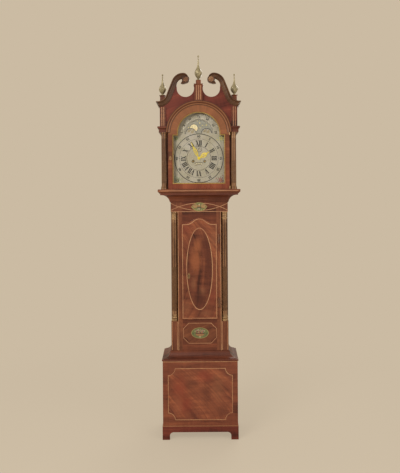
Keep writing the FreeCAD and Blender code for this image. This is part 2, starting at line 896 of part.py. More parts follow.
def notched_panel(half, z0, z1, corner, inset):
    """A rectangle with its four corners cut back in quarter circles, drawn this far inside the outer line."""
    radius = corner + inset
    drop = math.sqrt(radius * radius - inset * inset)
    knee = radius * math.sqrt(0.5)
    x, low, high = half - inset, z0 + inset, z1 - inset
    return outline(upright, (-half + drop, low), (half - drop, low),
                   ((half - knee, z0 + knee), (x, z0 + drop)),
                   (x, z1 - drop), ((half - knee, z1 - knee), (half - drop, high)), (-half + drop, high),
                   ((-half + knee, z1 - knee), (-x, z1 - drop)), (-x, z0 + drop),
                   ((-half + knee, z0 + knee), (-half + drop, low)))


def octagon(half, z0, z1, corner, inset):
    cut = corner - inset * (2 - math.sqrt(2))
    x, low, high = half - inset, z0 + inset, z1 - inset
    return outline(upright, (-x + cut, low), (x - cut, low), (x, low + cut), (x, high - cut), (x - cut, high),
                   (-x + cut, high), (-x, high - cut), (-x, low + cut))


def swag(x_end, z_end, z_middle, width):
    """A curved band from (-x_end, z_end) by the middle height to (x_end, z_end), its ends upright."""
    return outline(upright, (-x_end, z_end), ((0, z_middle), (x_end, z_end)), (x_end, z_end + width),
                   ((0, z_middle + width), (-x_end, z_end + width)))


def pointed_oval(x, z, half_width, half_height):
    return outline(upright, (x - half_width, z), ((x, z + half_height), (x + half_width, z)),
                   ((x, z - half_height), (x - half_width, z)))


def case_inlay():
    w = string_width
    face = base_front_y - inlay_proud
    frame = [notched_panel(base_half_width - base_string_inset, base_bottom_z + base_string_bottom_inset,
                           base_top_z - base_string_top_inset, base_string_corner, i) for i in (0, w)]
    keep("case_inlay", ribbon(frame[0], frame[1], face, base_front_y))
    keep("case_inlay", box(-base_half_width, base_half_width, face, base_front_y, base_top_z - 2 * w,
                           base_top_z - w))

    front = waist_front_y
    face = front - inlay_proud
    eight = [octagon(octagon_half_width, octagon_bottom_z, octagon_top_z, octagon_corner, i) for i in (0, w)]
    keep("case_inlay", ribbon(eight[0], eight[1], face, front))
    stile_line = box(notch_x - 1.5 * w, notch_x - w / 2, face, front, cove_top_z, frieze_line_z)
    keep("case_inlay", *both(stile_line))
    for x0, x1 in ((notch_x + w, notch_x + 2 * w), (waist_half_width - 2 * w, waist_half_width - w)):
        keep("case_inlay", *both(box(x0, x1, face, front, cove_top_z + w, plinth_top_z - w)))
    keep("case_inlay", box(-waist_half_width, waist_half_width, face, front, frieze_line_z,
                           frieze_line_z + w))

    # Arch and swag on the frieze, broken by the pointed oval
    band = patera_half_height * 2
    low, high = patera_z - band / 2, patera_z + band / 2
    cut = panel(pointed_oval(0, patera_z, patera_half_width, patera_half_height), face - overrun,
                front + overrun)
    arch = panel(swag(waist_half_width, low + w, high - 2 * w, w), face, front)
    hang = panel(swag(waist_half_width, high - 2 * w, low + w, w), face, front)
    keep("case_inlay", arch.fuse(hang).cut(cut).removeSplitter())


def paterae():
    face = waist_front_y - inlay_proud
    keep("paterae", panel(pointed_oval(0, patera_z, patera_half_width, patera_half_height), face,
                          waist_front_y))
    keep("paterae", panel(ellipse(0, oval_patera_z, oval_patera_half_width, oval_patera_half_height), face,
                          waist_front_y))


def under_hood():
    """The moulding fixed on top of the waist, on which the hood slides."""
    w = seat_moulding_proud
    f = seat_fillet
    low, high = seat_cove_bottom_z, seat_cove_top_z
    sag = (w * 0.36, (low + high) / 2 + f)
    profile = ((0, low), (f / 2, low), ((f * 0.9, low + f / 2), (f / 2, low + f)), (f, low + f),
               (sag, (w - f, high - 1.6 * f)), (w, high - 1.6 * f), (w, high), (0, high))
    keep("hood_seat_moulding", *mitred_frame(profile, waist_half_width, waist_front_y, back_y))


def seatboard():
    board = box(-waist_half_width, waist_half_width, seat_front_y, seat_back_y, cheek_top_z,
                cheek_top_z + seat_thickness)
    reach = barrel_drum_radius + line_radius
    slots = []
    for side in SIDES:
        slots.append(box(side * barrel_x - reach - 4 * line_radius, side * barrel_x - reach + 4 * line_radius,
                         barrel_start_y, barrel_end_y, cheek_top_z - overrun, cheek_top_z + overrun))
        slots.append(post(side * barrel_x + reach, weight_y, cheek_top_z - overrun, cheek_top_z + overrun,
                          line_radius + line_hole_gap))
    keep("seatboard", board.cut(slots))


def solid_round(profile, x, z, radius, sign, start, sweep):
    """Turns a moulding profile about the Y axis at (x, z). The profile is (inward, outward) steps from the
    outer contour, which lies at this radius; sign is 1 where the moulding lies inside the radius,
    -1 outside."""
    wire = outline(lambda u, v: V(radius - sign * u, tympanum_front_y - v, 0), *profile)
    shape = Part.Face(wire)
    solid = shape.revolve(V(0, 0, 0), Y_AXIS, -sweep)
    solid.rotate(V(0, 0, 0), Y_AXIS, -start)
    solid.translate(V(x, 0, z))
    return solid


def scroll_path(inset):
    """Radii and joints of the swan-neck outer contour, drawn this far inside it."""
    angle = math.radians(QUARTER_TURN - scroll_line_angle)
    nx, nz = math.cos(angle), math.sin(angle)
    level = nx * scroll_head_x + nz * scroll_head_z + scroll_head_radius
    foot = (level - nx * scroll_foot_x - nz * cornice_top_z) / (nz - 1)
    foot = abs(foot)
    foot_z = cornice_top_z + foot
    joint_high = (scroll_head_x + (scroll_head_radius - inset) * nx,
                  scroll_head_z + (scroll_head_radius - inset) * nz)
    joint_low = (scroll_foot_x - (foot + inset) * nx, foot_z - (foot + inset) * nz)
    return foot, foot_z, joint_low, joint_high


def neck_profile():
    """The swan-neck and cornice moulding: (inward from the outer edge, outward from the face)."""
    w, p = scroll_width, scroll_reach
    lip = w * 0.15
    step = p * 0.12
    low = w * 0.68
    bead = w * 0.16
    return ((0, 0), (0, p), (lip, p), (lip, p - step),
            ((lip + (low - lip) * 0.36, p * 0.5), (low, p * 0.36)), (low, p * 0.46),
            ((low + bead / 2, p * 0.46 - step / 2), (low + bead, p * 0.3)), (w, p * 0.14), (w, 0))


def swan_necks():
    profile = neck_profile()
    foot, foot_z, joint_low, joint_high = scroll_path(0)
    line = QUARTER_TURN - scroll_line_angle
    flat = outline(lambda u, v: V(0, tympanum_front_y - v, cornice_top_z - u), *profile)
    run = Part.Face(flat).extrude(V(cornice_half_width + overrun - scroll_foot_x, 0, 0))
    run.translate(V(scroll_foot_x, 0, 0))
    pieces = [run]
    pieces.append(solid_round(profile, scroll_foot_x, foot_z, foot, -1, HALF_TURN + line, scroll_line_angle))
    # Straight part between the two arcs
    length = math.hypot(joint_high[0] - joint_low[0], joint_high[1] - joint_low[1])
    bar = Part.Face(outline(lambda u, v: V(-u, tympanum_front_y - v, 0), *profile)).extrude(V(0, 0, length))
    bar.rotate(V(0, 0, 0), Y_AXIS, -line)
    bar.translate(V(joint_low[0], 0, joint_low[1]))
    pieces.append(bar)
    pieces.append(solid_round(profile, scroll_head_x, scroll_head_z, scroll_head_radius, 1, line,
                              QUARTER_TURN - line))
    curl_z = scroll_head_z + scroll_head_radius - scroll_curl_radius
    curl_x = scroll_head_x
    curl = solid_round(profile, curl_x, curl_z, scroll_curl_radius, 1, QUARTER_TURN, scroll_curl_sweep)
    pieces.append(curl)
    neck = pieces[0].fuse(pieces[1:])
    far = cornice_half_width + overrun
    mitre = Part.Face(outline(plan, (frieze_half_width, tympanum_front_y),
                              (frieze_half_width + far, tympanum_front_y - far),
                              (-far, tympanum_front_y - far),
                              (-far, tympanum_front_y))).extrude(V(0, 0, 2 * far))
    mitre.translate(V(0, 0, cornice_top_z - far))
    hole = rod(scroll_eye_x, scroll_eye_z, cornice_front_y - overrun, tympanum_front_y, scroll_eye_radius)
    eye = rod(scroll_eye_x, scroll_eye_z, tympanum_front_y - scroll_reach / 2, tympanum_front_y,
              scroll_eye_radius)
    keep("swan_necks", *both(neck.common(mitre).cut(hole).fuse(eye).removeSplitter()))
    side_wire = outline(lambda u, v: V(frieze_half_width + v, 0, cornice_top_z - u), *profile)
    side = Part.Face(side_wire).extrude(V(0, back_y - cornice_front_y, 0))
    side.translate(V(0, cornice_front_y, 0))
    clip = Part.Face(outline(plan, (frieze_half_width, tympanum_front_y),
                             (frieze_half_width + far, tympanum_front_y - far),
                             (frieze_half_width + far, hood_rear),
                             (frieze_half_width, hood_rear))).extrude(V(0, 0, 2 * far))
    clip.translate(V(0, 0, cornice_top_z - far))
    keep("swan_necks", *both(side.common(clip)))
    for side_ in SIDES:
        button = rod(side_ * scroll_eye_x, scroll_eye_z,
                     tympanum_front_y - scroll_reach / 2 - rosette_thickness,
                     tympanum_front_y - scroll_reach / 2, rosette_radius)
        try:
            button = button.makeFillet(rosette_thickness / 2, [e for e in button.Edges if
                                       e.BoundBox.YMax < tympanum_front_y - scroll_reach / 2 - joint_gap and
                                       e.BoundBox.XLength > rosette_radius])
        except Part.OCCError:
            print("rosette left square")
        petals = [post_y(side_ * scroll_eye_x, scroll_eye_z, rosette_radius * 0.62, i) for i in
                  range(rosette_petals)]
        keep("rosettes", button.cut(petals))


def post_y(x, z, reach, number):
    """One hollow between two petals of a rosette."""
    angle = 2 * math.pi * number / rosette_petals
    back = tympanum_front_y - scroll_reach / 2 - rosette_thickness * 0.45
    return rod(x + reach * math.cos(angle), z + reach * math.sin(angle), back - rosette_thickness, back,
               rosette_radius * 0.13)


def tympanum():
    gap = board_set_back
    foot, foot_z, joint_low, joint_high = scroll_path(gap)
    line = math.radians(QUARTER_TURN - scroll_line_angle)
    front, rear = tympanum_front_y, tympanum_front_y + tympanum_thickness
    wide = frieze_half_width
    crest = scroll_head_z + scroll_head_radius - gap
    reach = foot + gap
    side_z = foot_z - math.sqrt(reach * reach - (scroll_foot_x - wide) ** 2)
    mid_foot = (scroll_foot_x - reach * math.cos(math.radians(50)),
                foot_z - reach * math.sin(math.radians(50)))
    mid_head = arc_point(scroll_head_x, scroll_head_z, scroll_head_radius - gap, 56)
    half = outline(upright, (0, entablature_bottom_z), (wide, entablature_bottom_z), (wide, side_z),
                   (mid_foot, joint_low), joint_high, (mid_head, (scroll_head_x, crest)),
                   (scroll_head_x, scroll_head_z), (middle_plinth_half, scroll_head_z),
                   (middle_plinth_half, middle_plinth_top_z), (0, middle_plinth_top_z))
    board = panel(half, front, rear)
    curl_z = scroll_head_z + scroll_head_radius - scroll_curl_radius
    curl = rod(scroll_head_x, curl_z, front, rear, scroll_curl_radius - gap)
    neck = scroll_head_radius - scroll_width + gap
    cuts = [rod(bay_x, bay_z, front - overrun, rear + overrun, bay_radius),
            rod(scroll_head_x, scroll_head_z, front - overrun, rear + overrun, neck),
            box(-overrun, middle_plinth_half, front - overrun, rear + overrun, middle_plinth_top_z,
                crest + overrun)]
    board = board.fuse(curl).cut(cuts[:2])
    guard = box(0, middle_plinth_half, front, rear, middle_plinth_bottom_z, middle_plinth_top_z)
    eye = rod(scroll_eye_x, scroll_eye_z, front, rear, scroll_eye_radius)
    board = board.fuse([guard, eye])
    whole = board.fuse(mirrored(board))
    opening = rod(0, arch_centre_z, front - overrun, rear + overrun, arch_moulding_inner)
    keep("hood_tympanum", whole.cut(opening).removeSplitter())


def arch_profile():
    """(radius, outward) steps of the moulding round the hood door's arch."""
    span = arch_moulding_outer - arch_moulding_inner
    rise = arch_moulding_rise
    r = arch_moulding_inner
    base = hood_door_front_y - tympanum_front_y
    return ((r, 0), (r, -base + rise * 0.14), (r + span * 0.2, -base + rise * 0.28),
            ((r + span * 0.42, -base + rise * 0.42), (r + span * 0.55, -base + rise * 0.72)),
            (r + span * 0.62, -base + rise * 0.72), (r + span * 0.7, -base + rise),
            (r + span, -base + rise), (r + span, 0))


def hood_mouldings():
    wire = outline(lambda u, v: V(u, tympanum_front_y - v, 0), *arch_profile())
    ring = Part.Face(wire).revolve(V(0, 0, 0), Y_AXIS, 360)
    ring.translate(V(0, 0, arch_centre_z))
    far = entablature_half_width + overrun
    above = box(-far, far, entablature_front_y - overrun, tympanum_front_y + overrun, entablature_bottom_z,
                entablature_bottom_z + far)
    keep("hood_arch_moulding", ring.common(above))

    w = entablature_half_width - frieze_half_width
    low, high = entablature_bottom_z, entablature_top_z
    tall = high - low
    profile = ((0, low), (w * 0.45, low), (w * 0.45, low + tall * 0.34), (w * 0.3, low + tall * 0.34),
               (w * 0.3, low + tall * 0.42), ((w * 0.5, low + tall * 0.62), (w * 0.85, low + tall * 0.74)),
               (w, low + tall * 0.74), (w, low + tall * 0.93), (w * 0.8, high), (0, high))
    pieces = mitred_frame(profile, frieze_half_width, tympanum_front_y, hood_rear)
    clear = rod(0, arch_centre_z, entablature_front_y - overrun, tympanum_front_y + overrun,
                arch_moulding_outer)
    keep("hood_entablature", pieces[0].cut(clear), *pieces[1:])

    front = tympanum_front_y - frieze_block_proud
    block = box(frieze_half_width - frieze_block_width, frieze_half_width, front, tympanum_front_y,
                entablature_top_z, cornice_top_z - scroll_width)
    keep("hood_entablature", *both(block))
    third = frieze_block_width / 3
    for i in (1, 2):
        x = frieze_half_width - i * third
        keep("hood_inlay", *both(box(x - string_width / 2, x + string_width / 2, front - inlay_proud, front,
                                     entablature_top_z, cornice_top_z - scroll_width)))


def hood_frame():
    """The sliding frame at the foot of the hood, its sides and its top."""
    z0, z1 = hood_rail_bottom_z, hood_rail_top_z
    tall = z1 - z0
    outer = hood_rail_half_width
    rim = tall * 0.5
    profile = ((-rim, z0), (-rim * 0.6, z0), (-rim * 0.6, z0 + tall * 0.2),
               ((-rim * 0.18, z0 + tall * 0.32), (0, z0 + tall * 0.5)), (0, z0 + tall * 0.86),
               (-rim * 0.12, z1), (-rim, z1))
    strips = mitred_frame(profile, outer, hood_rail_front_y, hood_rear)
    front = box(-outer + rim, outer - rim, hood_rail_front_y + rim, hood_rail_front_y + hood_rail_depth,
                z0, z1)
    arm = box(hood_rail_inner_half, outer - rim, hood_rail_front_y + hood_rail_depth, hood_rear, z0, z1)
    keep("hood_base_frame", strips[0].fuse(strips[1:] + [front] + both(arm)).removeSplitter())
    line = box(-outer + rim, outer - rim, hood_rail_front_y - inlay_proud, hood_rail_front_y,
               z1 - tall * 0.42, z1 - tall * 0.3)
    keep("hood_inlay", line)

    stile_front = mask_front_y + mask_thickness
    stile_back = stile_front + hood_side_thickness
    top = cornice_top_z - scroll_width
    stile = box(dial_half_width + stile_clearance, hood_outer, stile_front, stile_back, z1,
                entablature_bottom_z)
    side = box(hood_side_x, hood_outer, stile_back, hood_rear, z1, entablature_bottom_z)
    rear = tympanum_front_y + tympanum_thickness
    soffit = box(hood_side_x, frieze_half_width, rear, hood_rear, entablature_bottom_z,
                 entablature_bottom_z + roof_thickness)
    high = box(frieze_half_width - hood_side_thickness, frieze_half_width, rear, hood_rear,
               entablature_bottom_z, top)
    wall = stile.fuse([side, soffit, high]).removeSplitter()
    roof = box(-frieze_half_width + hood_side_thickness, frieze_half_width - hood_side_thickness, rear,
               hood_rear,
               top - roof_thickness, top)
    keep("hood_carcass", wall.fuse([mirrored(wall), roof]).removeSplitter())

    window = tombstone(mask_sight_half, mask_sight_bottom_z, mask_sight_shoulder_z, mask_sight_arch,
                       arch_centre_z)
    board = box(-mask_half, mask_half, mask_front_y, stile_front, z1, mask_top_z)
    keep("dial_mask", board.cut(panel(window, mask_front_y - overrun, stile_front + overrun)))


def hood_columns():
    x, y = hood_column_x, hood_column_y
    low = hood_rail_top_z
    high = entablature_bottom_z
    r, w, h = hood_column_radius, hood_capital_radius, hood_capital_height
    shaft = fluted_shaft(x, y, low + h, high - h, r, flute_count, flute_radius, h / 2)
    ring = h / 8
    foot = turned(x, y, low, (0, 0), (w, 0), (w, 3 * ring), (w - ring, 3 * ring),
                  ((w, 4 * ring), (w - ring, 5 * ring)), (r, 5 * ring),
                  ((r + ring / 2, 6 * ring), (r, 7 * ring)),
                  (r, 8 * ring), (0, 8 * ring))
    head = turned(x, y, high - h, (0, 0), (r, 0), (r, ring), ((r + ring / 2, 1.5 * ring), (r, 2 * ring)),
                  (r, 5 * ring), ((r + ring / 4, 5.8 * ring), (w, 6.4 * ring)), (w, 8 * ring), (0, 8 * ring))
    keep("hood_columns", *both(shaft.fuse([foot, head]).removeSplitter()))
    stop = low + h + (high - low - 2 * h) * stop_rod_share
    for bar in flute_rods(x, y, low + h * 1.5, stop, r, flute_count, rod_radius, visible_flutes):
        keep("hood_brass", *both(bar))


def capped_plinth(x, half, y0, y1, z0, z1):
    cap, proud = plinth_cap_height, plinth_cap_proud
    die = box(x - half, x + half, y0, y1, z0, z1 - cap)
    base_wire = Part.makePolygon([V(x - half, y0, z1 - cap), V(x + half, y0, z1 - cap),
                                  V(x + half, y1, z1 - cap),
                                  V(x - half, y1, z1 - cap), V(x - half, y0, z1 - cap)])
    wide = [(x - half - proud, y0 - proud), (x + half + proud, y0 - proud), (x + half + proud, y1),
            (x - half - proud, y1)]
    top_wire = Part.makePolygon([V(a, b, z1 - cap / 3) for a, b in wide + wide[:1]])
    flare = Part.makeLoft([base_wire, top_wire], True, True)
    slab = box(x - half - proud, x + half + proud, y0 - proud, y1, z1 - cap / 3, z1)
    return die.fuse([flare, slab]).removeSplitter()


def plinths():
    front = tympanum_front_y - middle_plinth_proud
    keep("hood_plinths", capped_plinth(0, middle_plinth_half, front, tympanum_front_y, middle_plinth_bottom_z,
                                       middle_plinth_top_z))
    mid = front + middle_block_half + plinth_cap_proud / 2
    block = box(-middle_block_half, middle_block_half, mid - middle_block_half, mid + middle_block_half,
                middle_plinth_top_z, middle_block_top_z)
    keep("hood_plinths", block)
    rear = tympanum_front_y + tympanum_thickness
    side = capped_plinth(side_plinth_x, side_plinth_half, rear + plinth_cap_proud,
                         rear + plinth_cap_proud + 2 * side_plinth_half, cornice_top_z - scroll_width,
                         side_plinth_top_z)
    keep("hood_plinths", *both(side))
    face = front - inlay_proud
    for i in (-1, 0, 1):
        x = i * middle_plinth_half / 2
        keep("hood_inlay", box(x - string_width / 2, x + string_width / 2, face, front,
                               middle_plinth_bottom_z + string_width,
                               middle_plinth_top_z - plinth_cap_height - string_width))
    return side


def finial(x, y, z, height, bulb):
    """A turned urn, its neck and spire, from a small foot."""
    h, b = height, bulb
    return turned(x, y, z, (0, 0), (b * 0.36, 0), (b * 0.36, h * 0.02), (b * 0.14, h * 0.03),
                  (b * 0.14, h * 0.045),
                  ((b * 0.72, h * 0.17), (b * 0.98, h * 0.3)),
                  ((b, h * 0.34), (b * 0.88, h * 0.4)), ((b * 0.62, h * 0.47), (b * 0.32, h * 0.535)),
                  (b * 0.4, h * 0.55), (b * 0.4, h * 0.565), (b * 0.26, h * 0.57),
                  ((b * 0.17, h * 0.65), (b * 0.09, h * 0.78)), (b * 0.05, h * 0.815), (b * 0.05, h * 0.855),
                  ((b * 0.19, h * 0.91), (b * 0.03, h)), (0, h))


def finials():
    mid = tympanum_front_y - middle_plinth_proud + middle_block_half + plinth_cap_proud / 2
    keep("finials", finial(0, mid, middle_block_top_z, finial_height, finial_bulb_radius))
    rear = tympanum_front_y + tympanum_thickness
    y = rear + plinth_cap_proud + side_plinth_half
    for side in SIDES:
        keep("finials", finial(side * side_plinth_x, y, side_plinth_top_z, side_finial_height,
                               finial_bulb_radius))


def hood_door():
    front, back = hood_door_front_y, hood_door_front_y + hood_door_thickness
    leaf = panel(tombstone(hood_door_half, hood_door_bottom_z, hood_door_shoulder_z, hood_door_arch,
                           arch_centre_z), front, back)
    sight = panel(tombstone(sight_half, sight_bottom_z, sight_shoulder_z, sight_arch, arch_centre_z),
                  front - overrun, back + overrun)
    r = glass_rebate
    pane = tombstone(sight_half + r, sight_bottom_z - r, sight_shoulder_z + r, sight_arch + r, arch_centre_z)
    glass_front = front + hood_door_thickness * 0.6
    rebate = panel(pane, glass_front, back + overrun)
    x, y = hood_pin_x, hood_pin_y
    knuckle_z = [(hood_door_bottom_z, hood_door_bottom_z + knuckle_height),
                 (hood_door_shoulder_z - knuckle_height, hood_door_shoulder_z)]
    knuckles = [post(x, y, a, b, knuckle_radius) for a, b in knuckle_z]
    keep("hood_door", leaf.cut([sight, rebate] + knuckles).removeSplitter())
    keep("hood_door_glass", panel(pane, glass_front, glass_front + glass_thickness))

    bore = post(x, y, hood_door_bottom_z - overrun, hood_door_shoulder_z + overrun,
                hood_pin_radius + pivot_clearance)
    for knuckle in knuckles:
        keep("hood_door_fittings", knuckle.cut(bore))
    s = slip_width
    slip = ribbon(tombstone(sight_half, sight_bottom_z, sight_shoulder_z, sight_arch, arch_centre_z),
                  tombstone(sight_half - s, sight_bottom_z + s, sight_shoulder_z - s, sight_arch - s,
                            arch_centre_z), glass_front - slip_thickness, glass_front)
    keep("hood_door_fittings", slip)
    plate_x = -(hood_door_half + sight_half) / 2
    plate = panel(ellipse(plate_x, dial_centre_z, escutcheon_half_width, escutcheon_half_height * 0.7),
                  front - escutcheon_thickness, front)
    keep("hood_door_fittings", plate.cut(rod(plate_x, dial_centre_z, front - overrun, front + overrun,
                                             keyhole_radius)))

    # Pins in the rail below and in the moulding above
    reach = hood_door_bottom_z - hood_rail_top_z
    low = post(x, y, hood_rail_top_z, hood_door_bottom_z + knuckle_height, hood_pin_radius)
    high = post(x, y, hood_door_shoulder_z - knuckle_height, entablature_bottom_z, hood_pin_radius)
    collar = post(x, y, hood_rail_top_z, hood_rail_top_z + reach - run_gap, knuckle_radius)
    keep("hood_brass", low.fuse(collar).removeSplitter(), high)


# Sizes of the dial's details


def dial():
    front, back = dial_front_y, dial_front_y + dial_thickness
    far = overrun
    plate = panel(tombstone(dial_half_width, dial_bottom_z, dial_shoulder_z, dial_arch_radius,
                            dial_arch_centre_z), front, back)
    cuts = [rod(0, dial_centre_z, front - far, back + far, hand_hole_radius),
            rod(0, dial_centre_z + seconds_dz, front - far, back + far, stud_radius)]
    for side in SIDES:
        cuts.append(rod(side * barrel_x, dial_centre_z + barrel_dz, front - far, back + far,
                        winding_hole_radius))
    half_round = panel(outline(upright, (-moon_window_radius, dial_arch_centre_z),
                               (moon_window_radius, dial_arch_centre_z),
                               ((0, dial_arch_centre_z + moon_window_radius),
                                (-moon_window_radius, dial_arch_centre_z))), front - far, back + far)
    humps = [rod(side * moon_hump_x, dial_arch_centre_z, front - 2 * far, back + 2 * far, moon_hump_radius)
             for side in SIDES]
    cuts.append(half_round.cut(humps))
    a0, a1 = QUARTER_TURN - date_slot_angle, QUARTER_TURN + date_slot_angle
    low, high = date_slot_radius - date_slot_height / 2, date_slot_radius + date_slot_height / 2
    slot = outline(upright, arc_point(0, date_disc_z, high, a0),
                   (arc_point(0, date_disc_z, high, QUARTER_TURN), arc_point(0, date_disc_z, high, a1)),
                   arc_point(0, date_disc_z, low, a1),
                   (arc_point(0, date_disc_z, low, QUARTER_TURN), arc_point(0, date_disc_z, low, a0)))
    cuts.append(panel(slot, front - far, back + far))
    keep("dial", plate.cut(cuts))
    for side in SIDES:
        for z in (dial_post_low_z, dial_post_high_z):
            keep("movement_frame", rod(side * dial_post_x, z, back, front_plate_y, dial_post_radius))

    for name, z, radius in (("moon_disc", dial_arch_centre_z, moon_disc_radius),
                            ("calendar_disc", date_disc_z, date_disc_radius)):
        disc = rod(0, z, disc_y, disc_y + disc_thickness, radius)
        keep(name, disc.cut(rod(0, z, disc_y - far, disc_y + far, stud_radius + pivot_clearance)))
        head = disc_y + disc_thickness + run_gap
        stud = rod(0, z, back, head, stud_radius).fuse(
            rod(0, z, head, head + stud_head_thickness, stud_head_radius))
        keep("movement_frame", stud.removeSplitter())


def third_arbor():
    """Place of the third wheel's arbor, from its distances to the centre and escape arbors."""
    a = (centre_teeth + third_pinion_leaves) * centre_module / 2
    b = (third_teeth + escape_pinion_leaves) * third_module / 2
    c = seconds_dz
    along = (a * a - b * b + c * c) / (2 * c)
    return math.sqrt(a * a - along * along), along


def movement_frame():
    x0, z0 = third_arbor()
    mid = dial_centre_z
    half = plate_half_width
    fp, bp, t = front_plate_y, back_plate_y, plate_thickness
    far = overrun
    holes_front = [(0, 0, cannon_arbor_radius), (0, motion_dz, pivot_radius), (x0, z0, pivot_radius),
                   (0, seconds_dz, pivot_radius), (0, anchor_dz, pivot_radius),
                   (barrel_x, barrel_dz, winding_arbor_radius), (-barrel_x, barrel_dz, winding_arbor_radius),
                   (hammer_x, hammer_dz, pivot_radius)]
    holes_back = [(0, 0, pivot_radius), (x0, z0, pivot_radius), (0, seconds_dz, pivot_radius),
                  (0, anchor_dz, arbor_radius), (barrel_x, barrel_dz, arbor_radius),
                  (-barrel_x, barrel_dz, arbor_radius), (hammer_x, hammer_dz, pivot_radius)]
    front = box(-half, half, fp, fp + t, plate_bottom_z, plate_top_z)
    front = front.cut([rod(x, mid + z, fp - far, fp + far, r + pivot_clearance) for x, z, r in holes_front])
    back = box(-half, half, bp, bp + t, plate_bottom_z, plate_top_z)
    back = back.cut([rod(x, mid + z, bp - far, bp + far, r + pivot_clearance) for x, z, r in holes_back])
    keep("movement_frame", front, back)
    pillars = ((low_pillar_inset, plate_bottom_z + pillar_inset), (pillar_inset, plate_top_z - pillar_inset))
    for inset, z in pillars:
        keep("movement_frame", *both(rod(half - inset, z, fp + t, bp, pillar_radius)))
    # Bridge that carries the front end of the minute wheel's arbor
    z = mid + motion_dz
    bridge_y = minute_pinion_y0 - run_gap - bridge_thickness
    strip = box(-bridge_half, bridge_half, bridge_y, bridge_y + bridge_thickness, z - bridge_width / 2,
                z + bridge_width / 2)
    legs = [rod(side * (bridge_half - bridge_width / 2), z, bridge_y, fp, stud_radius) for side in SIDES]
    hole = rod(0, z, bridge_y - far, bridge_y + bridge_thickness + run_gap, pivot_radius + pivot_clearance)
    keep("movement_frame", strip.cut(hole).fuse(legs).removeSplitter())


# Places of the train along Y


def train_arbor(x, z, front_end=None):
    """A pivoted arbor between the plates, run forward of the front plate when front_end is given."""
    inner0, inner1 = front_plate_y + plate_thickness, back_plate_y
    outer0 = front_plate_y if front_end is None else front_end
    bar = rod(x, z, inner0 + run_gap, inner1 - run_gap, arbor_radius)
    return bar.fuse(rod(x, z, outer0, inner1 + plate_thickness, pivot_radius))


def facing(x0, z0, x1, z1):
    """Direction in degrees from one arbor to another."""
    return math.degrees(math.atan2(z1 - z0, x1 - x0))


